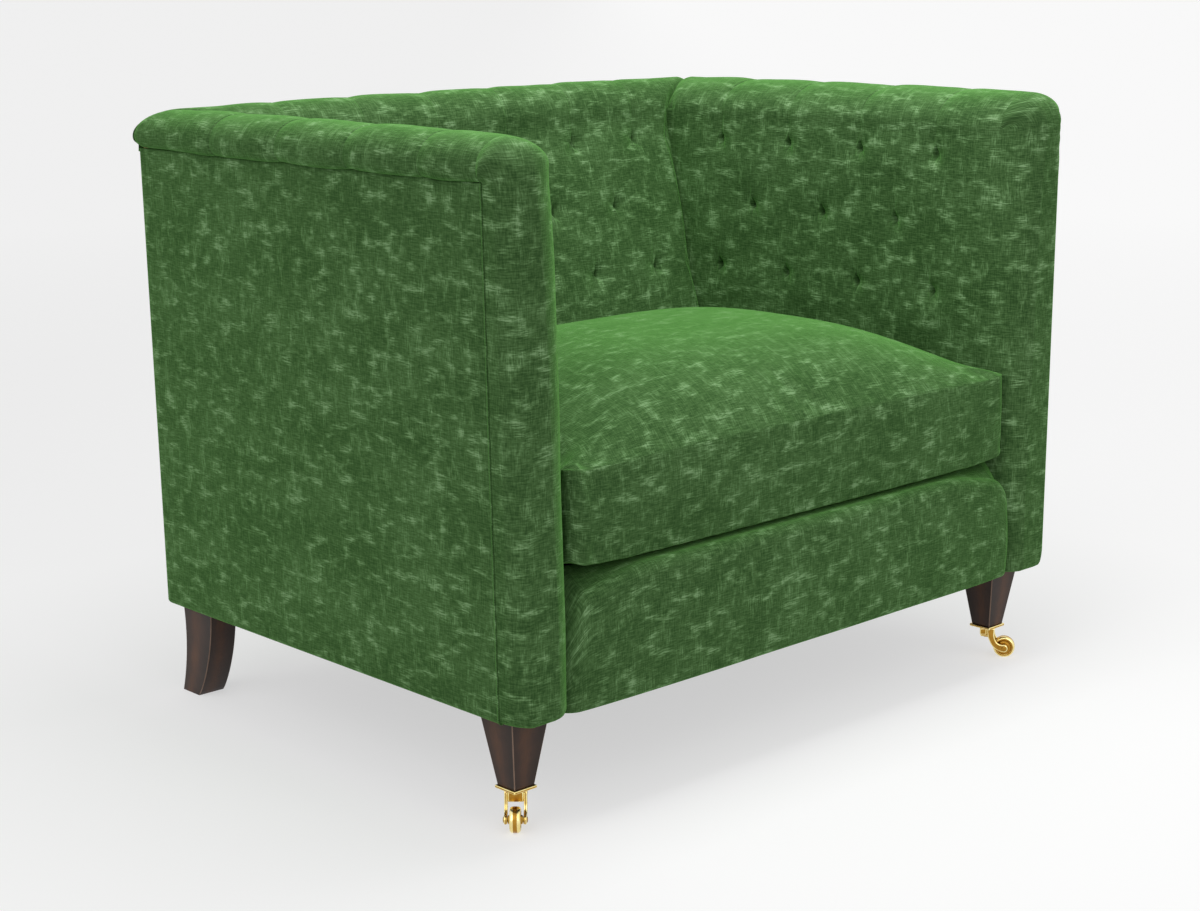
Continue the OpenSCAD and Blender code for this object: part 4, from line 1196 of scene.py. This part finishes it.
def cushion_points(cube):
    """Each vertex's place on the stuffed cushion, before it is pressed."""
    a, b, c = cube.T
    half_y, mid_y = (cushion_back - cushion_front) / 2, (cushion_back + cushion_front) / 2
    reach_x, reach_y = np.abs(a) * cushion_half, np.abs(b) * half_y
    r = np.where(b < 0, corner_front, corner_back)
    kx = np.clip(reach_x - (cushion_half - r), 0, None) / r
    ky = np.clip(reach_y - (half_y - r), 0, None) / r
    x = np.sign(a) * (np.minimum(reach_x, cushion_half - r) + r * kx * np.sqrt(1 - ky * ky / 2))
    y = mid_y + np.sign(b) * (np.minimum(reach_y, half_y - r) + r * ky * np.sqrt(1 - kx * kx / 2))
    level = (c + 1) / 2
    top, foot = c > face_end, c < -face_end
    wall = ~top & ~foot
    ahead = np.where(b < 0, np.abs(b), 0) ** 6
    low = seam_low + (0.004 * np.abs(a) ** 2.5 + 0.012 * np.abs(a) ** 18) * ahead
    high = seam_high + 0.004 * np.abs(a) ** 10 * ahead
    hump = (1 - np.abs(a) ** crown_power) * (1 - np.abs(b) ** crown_power)
    belly = belly_h * np.clip(1.6 * (1 - np.abs(a) ** 2.2) * (1 - np.abs(b) ** 2.2), 0, 1)
    z = low + (high - low) * level
    z = np.where(top, high + crown_h * hump, np.where(foot, low - belly, z))
    bulge = boxing_bulge * np.sin(np.pi * level) * wall
    x = x + (np.abs(a) > face_end) * np.sign(a) * bulge * (1 - b ** 6) * 0.2
    y = y + (np.abs(b) > face_end) * np.sign(b) * bulge * (1 - a ** 8)
    y = y + 0.004 * (1 - a ** 2) * np.clip(-b, 0, 1) ** 4
    y = y + cushion_lean * np.clip(b, 0, 1) ** 4 * np.clip(level, 0, 1)
    return np.stack([x, y, z], 1)


def inflated(mesh, points):
    """The cover's points after its stuffing has pushed it out, by a short cloth simulation."""
    data = bpy.data.meshes.new("cushion_in_work")
    mesh.to_mesh(data)
    data.vertices.foreach_set("co", points.ravel())
    work = placed("cushion_in_work", data)
    cloth = work.modifiers.new("stuffing", "CLOTH")
    cloth.settings.quality = 5
    cloth.settings.mass = 0.3
    cloth.settings.tension_stiffness = 20
    cloth.settings.compression_stiffness = 20
    cloth.settings.bending_stiffness = 1.0
    cloth.settings.use_pressure = True
    cloth.settings.uniform_pressure_force = 4
    cloth.settings.effector_weights.gravity = 0
    cloth.collision_settings.use_collision = False
    cloth.point_cache.frame_start, cloth.point_cache.frame_end = 1, 20
    for step in range(1, 21):
        scene.frame_set(step)
    shaped = work.evaluated_get(bpy.context.evaluated_depsgraph_get()).data
    result = np.zeros(len(shaped.vertices) * 3)
    shaped.vertices.foreach_get("co", result)
    scene.frame_set(1)
    bpy.data.objects.remove(work)
    return result.reshape(-1, 3)


cushion, cube = cushion_shell()
stuffed = cushion_points(cube)
moved = inflated(cushion, stuffed) - stuffed
length = np.linalg.norm(moved, axis=1, keepdims=True)
stuffed = stuffed + moved * np.minimum(1, swell_limit / np.maximum(length, 1e-9))
beside = part_way(stuffed[:, 1], -0.385, 0.055)
limit = cushion_half + (pressed_half - cushion_half) * beside * beside * (3 - 2 * beside)
stuffed[:, 0] = np.clip(stuffed[:, 0] * limit / cushion_half, -limit, limit)
back_limit = cushion_back + 0.2 * np.maximum(stuffed[:, 2] - deck_level, 0)
stuffed[:, 1] = np.minimum(stuffed[:, 1], back_limit)
over_border = part_way(front_y + 0.085 - stuffed[:, 1], 0, 0.02)
over_border *= part_way(0.40 - np.abs(stuffed[:, 0]), 0, 0.10)
stuffed[:, 2] = np.maximum(stuffed[:, 2], deck_level + rest_rise * over_border)
for vert, point in zip(cushion.verts, stuffed.tolist()):
    vert.co = point
top_rim = np.minimum((1 - np.abs(cube[:, 0])) * cushion_half, (1 - np.abs(cube[:, 1])) * 0.3)
from_top = np.maximum(top_rim, (1 - cube[:, 2]) * (seam_high - seam_low) / 2)
near_top = [v for v, gap in zip(cushion.verts, from_top) if gap < edge_soft]
for _ in range(edge_passes):
    bmesh.ops.smooth_vert(cushion, verts=near_top, factor=0.5, use_axis_x=True, use_axis_y=True,
                          use_axis_z=True)
bmesh.ops.recalc_face_normals(cushion, faces=cushion.faces)
cushion.normal_update()
normals = np.array([v.normal for v in cushion.verts])
half_y = (cushion_back - cushion_front) / 2
on_wall = (np.abs(cube[:, :2]).max(1) > face_end)
from_rim = np.minimum((1 - np.abs(cube[:, 0])) * cushion_half, (1 - np.abs(cube[:, 1])) * half_y)
from_seam = np.where(on_wall, (1 - np.abs(cube[:, 2])) * (seam_high - seam_low) / 2, from_rim)
along = cube[:, 0] * cushion_half + cube[:, 1] * half_y
groove = np.where(cube[:, 2] < 0, -seam_ridge, seam_depth) * bell(from_seam, seam_wide)
waves = np.sin(along * 150 + 2 * np.sin(along * 37))
groove += pucker * waves * bell(from_seam, pucker_wide) * (from_seam > 0)
for vert, point in zip(cushion.verts, (stuffed - normals * groove[:, None]).tolist()):
    vert.co = point
layer = cushion.loops.layers.uv.new("cloth")
for face in cushion.faces:
    face.smooth = True
    centre = cube[[v.index for v in face.verts]].mean(0)
    for loop in face.loops:
        ca, cb, cc = cube[loop.vert.index]
        if abs(centre[2]) > face_end:
            loop[layer].uv = (ca * cushion_half + 8.0, cb * half_y * 1.12)
        elif abs(centre[1]) > face_end:
            loop[layer].uv = (ca * cushion_half + 8.0, cc * boxing_half + 1.0)
        else:
            loop[layer].uv = (cb * half_y + 8.0, cc * boxing_half + 1.6)
cushion = finish_piece(cushion, "seat_cushion_cover", cover_cloth, "cushion")
rounding = cushion.modifiers.new("rounding", "SUBSURF")
rounding.levels = rounding.render_levels = 1
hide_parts("seat_cushion")

# The legs: walnut, sawn square and tapered in front, and swept back as sabre legs behind. They are
# stained dark, lacquered satin and paler along the arrises, with a painted reflection mid-face.
walnut_dark = "#2a211c"
walnut_mid = "#453229"
walnut_red_reflection = "#684631"
arris_pale = "#a48c7c"
arris_dark = "#7d6455"
arris_wide = 0.0011
foot_round = 0.0008
grain_width = 0.0022
leg_head = 0.1497
front_leg_x = 0.468
front_leg_y = -0.3275
front_top_half = 0.0310
front_foot_half = 0.016
rear_leg_y = 0.3625
sabre_outer = 0.493
sabre_thick = 0.042
sabre_in = 0.015
sabre_kick = 0.035
sabre_foot_deep = 0.041
sabre_top_deep = 0.071
sabre_steps = 22


def satin_walnut(name, dark, mid, red):
    """Stained walnut under satin lacquer: faint upright grain, and a painted reflection mid-face."""
    made, tree = new_material(name)
    across = add(tree, "ShaderNodeSeparateXYZ", {
        0: add(tree, "ShaderNodeUVMap", uv_map="face").outputs[0]}).outputs["X"]
    where = add(tree, "ShaderNodeTexCoord").outputs["Object"]
    stretched = add(tree, "ShaderNodeMapping", {
        "Vector": where, "Scale": (1 / grain_width, 1 / grain_width, 0.06 / grain_width)}).outputs[0]
    grain = noise(tree, stretched, 1.0, 4.0, Roughness=0.6)
    # Painted reflection: bow lightens a band near each face's middle, so each face is darker towards
    # its edges.
    off = maths(tree, "ABSOLUTE", maths(tree, "SUBTRACT", across, 0.60))
    bow = remap(tree, off, 0.0, 0.52, 0.66, 0.06, "SMOOTHSTEP")
    mottle_and_reflection = maths(tree, "MULTIPLY_ADD", noise(tree, where, grain_width * 14), 0.5, bow)
    tone = maths(tree, "SUBTRACT", maths(tree, "MULTIPLY_ADD", grain, 0.35, mottle_and_reflection), 0.36)
    return surface(made, tree, {
        "Base Color": ramp(tree, tone, (0, dark), (0.5, mid), (1, red)), "Roughness": 0.42,
        "Specular IOR Level": 0.22, "Normal": bumped(tree, grain, 0.12, 0.0004)})


stained_walnut = satin_walnut("stained_walnut", walnut_dark, walnut_mid, walnut_red_reflection)
# The bevelled arrises take a paler walnut of their own.
pale_walnut = satin_walnut("rubbed_walnut_arris", arris_dark, arris_pale, arris_pale)


def leg_mesh(corner, cuts, foot, head, spigot):
    """A four-square leg. corner gives its x or y at a share of its height and a side, -1 or 1."""
    mesh = bmesh.new()
    bmesh.ops.create_cube(mesh, size=2.0)
    upright = [e for e in mesh.edges if abs(e.verts[0].co.z - e.verts[1].co.z) > 1]
    bmesh.ops.subdivide_edges(mesh, edges=upright, cuts=cuts)
    arrises = [e for e in mesh.edges if abs(e.verts[0].co.z - e.verts[1].co.z) > 1e-6]
    for vert in mesh.verts:
        share = (vert.co.z + 1) / 2
        vert.co = (corner("x", share, vert.co.x), corner("y", share, vert.co.y),
                   foot + (head - foot) * share)
    pale_edges = bmesh.ops.bevel(mesh, geom=arrises, offset=arris_wide, segments=2, profile=0.5,
                           affect="EDGES", material=-1)["faces"]
    for face in pale_edges:
        face.material_index = 1
    rim = [e for e in mesh.edges if e.is_valid and max(v.co.z for v in e.verts) < foot + 1e-5]
    bmesh.ops.bevel(mesh, geom=rim, offset=foot_round, segments=2, profile=0.5, affect="EDGES",
                    material=-1)
    cuboid(mesh, *spigot)
    layer = mesh.loops.layers.uv.new("face")
    for face in mesh.faces:
        way = "y" if abs(face.normal.x) > abs(face.normal.y) else "x"
        for loop in face.loops:
            share = min(1, max(0, (loop.vert.co.z - foot) / (head - foot)))
            start, end = corner(way, share, -1), corner(way, share, 1)
            reach = (getattr(loop.vert.co, way) - start) / (end - start)
            if face.normal.x < 0 and way == "y":
                reach = 1 - reach
            loop[layer].uv = (reach, share)
    return mesh


def front_corner(way, share, side):
    half = front_foot_half + (front_top_half - front_foot_half) * share
    return (front_leg_x if way == "x" else front_leg_y) + side * half


def sabre_corner(way, share, side):
    if way == "x":
        outer = sabre_outer - sabre_in * (1 - share)
        return outer - sabre_thick * (1 - side) / 2
    rear = rear_leg_y + sabre_kick * (1 - share) ** 2
    deep = sabre_foot_deep + (sabre_top_deep - sabre_foot_deep) * share ** 0.75
    return rear - deep * (1 - side) / 2


for name, corner, cuts, hole in (("front_leg", front_corner, 6, front_hole),
                                 ("rear_leg", sabre_corner, sabre_steps, rear_hole)):
    low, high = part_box(f"{name}_right")
    spigot = (Vector((hole[0] + 2 * spigot_gap, hole[2] + 2 * spigot_gap, leg_head - 0.002)),
              Vector((hole[1] - 2 * spigot_gap, hole[3] - 2 * spigot_gap, high.z)))
    for side in ("right", "left"):
        mesh = on_side(side, leg_mesh(corner, cuts, low.z, leg_head, spigot))
        made = finish_piece(mesh, f"walnut_{name}_{side}", (stained_walnut, pale_walnut), "chair")
        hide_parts(f"{name}_{side}")

# The castors: cast and polished brass. A square plate is screwed under each front leg, a forked yoke
# with two curved horns swivels on its pintle, and a rimmed wheel turns on an axle between the horns.
brass_deep = "#a3762a"
brass_face = "#b98a36"
painted_highlight_bright = "#fff3b6"
painted_highlight_pale = "#f4dc88"
polish_grain = 0.0012
plate_edge = 0.0013
horn_thick = 0.0042
horn_in = 0.0098
horn_edge = 0.0015
trail = 0.026
wheel_r = 0.016
wheel_half = 0.0070
hub_half = 0.0092
axle_r = 0.003
crown_back = -0.010
crown_front = 0.012
crown_foot = 0.0325
horn_line = ((0.0062, 0.0465), (0.0052, 0.0285), (0.0120, 0.0160), (trail, wheel_r))
horn_steps = 14
eye_r = 0.0058
horn_waist = 0.0014
highlight_bands = ((0.0046, 0.0053), (0.0107, 0.0115), (0.0132, 0.0159))
turns = {"left": 226, "right": 306}


def cast_brass(name, dark, pale, roughness):
    """Polished cast brass with a faint random mottle; in pale colours it is a painted highlight."""
    made, tree = new_material(name)
    where = add(tree, "ShaderNodeTexCoord").outputs["Object"]
    cloud = noise(tree, where, polish_grain * 6, 3.0)
    return surface(made, tree, {
        "Base Color": ramp(tree, cloud, (0.3, dark), (0.7, pale)), "Metallic": 1.0,
        "Roughness": roughness, "Normal": bumped(tree, noise(tree, where, polish_grain), 0.15, 0.0002)})


brass = cast_brass("polished_brass", brass_deep, brass_face, 0.28)
# The paler brass on the eased edges and the wheel's rim bands is a painted highlight.
brass_painted_highlight = cast_brass("brass_edge_painted_highlight", painted_highlight_pale, painted_highlight_bright, 0.2)
finish_node("castor_screws", brass)


def eased(mesh, edges, width):
    """Rounds edges and gives them the paler brass, a painted highlight."""
    pale_edges = bmesh.ops.bevel(mesh, geom=edges, offset=width, segments=3, profile=0.5, affect="EDGES",
                           material=-1)["faces"]
    for face in pale_edges:
        face.material_index = 1
        face.smooth = True


def turned(profile, steps=48):
    """A turned piece about the X axis. profile runs along it as (place, radius)."""
    mesh = bmesh.new()
    verts = [mesh.verts.new((x, 0, r)) for x, r in profile]
    edges = [mesh.edges.new(pair) for pair in zip(verts, verts[1:])]
    bmesh.ops.spin(mesh, geom=verts + edges, cent=(0, 0, 0), axis=(1, 0, 0), angle=2 * math.pi,
                   steps=steps, use_merge=True)
    bmesh.ops.remove_doubles(mesh, verts=mesh.verts, dist=1e-6)
    bmesh.ops.recalc_face_normals(mesh, faces=mesh.faces)
    return mesh


def horn_outline():
    """Side of a horn: a tapered bar that sweeps down and forward to a round eye at the axle."""
    bend = [Vector(p) for p in horn_line]
    middle = [sum((math.comb(3, k) * t ** k * (1 - t) ** (3 - k) * bend[k] for k in range(4)),
                  Vector((0, 0))) for t in (n / horn_steps for n in range(horn_steps + 1))]
    left, right = [], []
    for k, point in enumerate(middle):
        ahead = middle[min(k + 1, horn_steps)] - middle[max(k - 1, 0)]
        side = Vector((-ahead.y, ahead.x)).normalized()
        wide = eye_r - horn_waist * math.sin(math.pi * k / horn_steps)
        left.append(point + side * wide)
        right.append(point - side * wide)
    start = math.atan2(left[-1].y - wheel_r, left[-1].x - trail)
    eye = [Vector((trail + eye_r * math.cos(start - a), wheel_r + eye_r * math.sin(start - a)))
           for a in (math.pi * k / 13 for k in range(1, 13))]
    return left + eye + right[::-1]


def bar(outline, y0, y1, edge):
    """A plate cut to an outline in X and Z, between two places across, with its rims eased."""
    mesh = bmesh.new()
    face = mesh.faces.new([mesh.verts.new((p.x, y0, p.y)) for p in outline])
    grown = bmesh.ops.extrude_face_region(mesh, geom=[face])["geom"]
    moved = [g for g in grown if isinstance(g, bmesh.types.BMVert)]
    bmesh.ops.translate(mesh, vec=(0, y1 - y0, 0), verts=moved)
    bmesh.ops.recalc_face_normals(mesh, faces=mesh.faces)
    rims = [e for e in mesh.edges if abs(e.verts[0].co.y - e.verts[1].co.y) < 1e-6]
    eased(mesh, rims, edge)
    for face in mesh.faces:
        if abs(face.normal.y) < 0.5 and not face.material_index:
            face.smooth = True
    return mesh


def block(low, high, edge):
    """A cast block with eased edges."""
    mesh = bmesh.new()
    cuboid(mesh, Vector(low), Vector(high))
    eased(mesh, mesh.edges[:], edge)
    return mesh


def wheel_mesh():
    """A brass wheel: a rounded tread, a raised rim, a sunk web and a hub, bored for the axle."""
    h, r = wheel_half, wheel_r
    side = [(hub_half - 0.0002, axle_r + 0.0001), (hub_half, axle_r + 0.0004), (hub_half, 0.0046),
            (hub_half - 0.0005, 0.0052), (h - 0.0015, 0.0064), (h - 0.0022, 0.0072),
            (h - 0.0025, 0.0082), (h - 0.0025, 0.0100), (h - 0.0020, 0.0107), (h - 0.0006, 0.0110),
            (h - 0.0003, 0.0114), (h - 0.0003, 0.0133), (h - 0.0007, 0.0141), (h - 0.0014, 0.0150),
            (h - 0.0026, 0.0157), (h - 0.0045, r - 0.00005)]
    whole = side + [(0, r)] + [(-x, y) for x, y in side[::-1]] + [side[0]]
    mesh = turned(whole)
    for face in mesh.faces:
        face.smooth = True
        middle = face.calc_center_median()
        reach = math.hypot(middle.y, middle.z)
        # Faces in these bands take the paler brass, a painted highlight.
        if any(low <= reach <= high for low, high in highlight_bands):
            face.material_index = 1
    return mesh


def axle_mesh():
    """The axle: a pin whose ends are riveted over into domed heads outside the horns."""
    end = horn_in + horn_thick + 0.0002
    head = [(end, axle_r * 1.2), (end + 0.0004, axle_r * 1.2), (end + 0.0008, axle_r * 0.9),
            (end + 0.0010, axle_r * 0.4), (end + 0.0010, 0)]
    profile = [(-x, y) for x, y in head[::-1]] + [(-end, axle_r), (end, axle_r)] + head
    mesh = turned(profile, 32)
    for face in mesh.faces:
        face.smooth = abs(face.normal.x) < 0.99
    return mesh


for side in ("left", "right"):
    sign = -1 if side == "left" else 1
    pivot = Vector((sign * front_leg_x, front_leg_y, 0))
    swung = Matrix.Rotation(math.radians(turns[side]), 3, "Z")
    low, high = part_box(f"castor_plate_{side}")
    low, high = low - pivot, high - pivot
    plate_z = high.z - 0.004
    plate = joined([block((low.x, low.y, plate_z), (high.x, high.y, high.z), plate_edge),
                    turned([(low.z, 0), (low.z, 0.006), (low.z + 0.0016, 0.006),
                            (low.z + 0.0016, 0.004), (plate_z + 0.001, 0.004),
                            (plate_z + 0.001, 0)], 32)])
    pin = [v for v in plate.verts if v.co.x > 0.03 and abs(v.co.z) < 0.01]
    bmesh.ops.rotate(plate, cent=(0, 0, 0), matrix=Matrix.Rotation(-math.pi / 2, 3, "Y"), verts=pin)
    bmesh.ops.translate(plate, vec=pivot, verts=plate.verts)
    made = finish_piece(plate, f"brass_plate_{side}", (brass, brass_painted_highlight), "chair")
    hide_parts(f"castor_plate_{side}")

    yoke_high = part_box(f"castor_yoke_{side}")[1]
    horn_out = horn_in + horn_thick
    yoke = joined([block((crown_back, -horn_out, crown_foot + 0.004), (0.0, horn_out, yoke_high.z),
                         horn_edge),
                   block((crown_back + 0.001, -horn_in, crown_foot),
                         (crown_front - 0.0005, horn_in, yoke_high.z - 0.0005), 0.0016),
                   bar(horn_outline(), horn_in, horn_out, horn_edge),
                   bar(horn_outline(), -horn_out, -horn_in, horn_edge)])
    wheel, axle = wheel_mesh(), axle_mesh()
    for mesh in (wheel, axle):
        bmesh.ops.rotate(mesh, cent=(0, 0, 0), matrix=Matrix.Rotation(math.pi / 2, 3, "Z"),
                         verts=mesh.verts)
        bmesh.ops.translate(mesh, vec=(trail, 0, wheel_r), verts=mesh.verts)
    for mesh, name, node, body in ((yoke, "horned_yoke", "castor_yoke", "castor"),
                                   (axle, "riveted_axle", "castor_axle", "castor"),
                                   (wheel, "rimmed_wheel", "castor_wheel", "wheel")):
        bmesh.ops.rotate(mesh, cent=(0, 0, 0), matrix=swung, verts=mesh.verts)
        bmesh.ops.translate(mesh, vec=pivot, verts=mesh.verts)
        made = finish_piece(mesh, f"{name}_{side}", (brass, brass_painted_highlight), f"{body}_{side}")
        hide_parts(f"{node}_{side}")
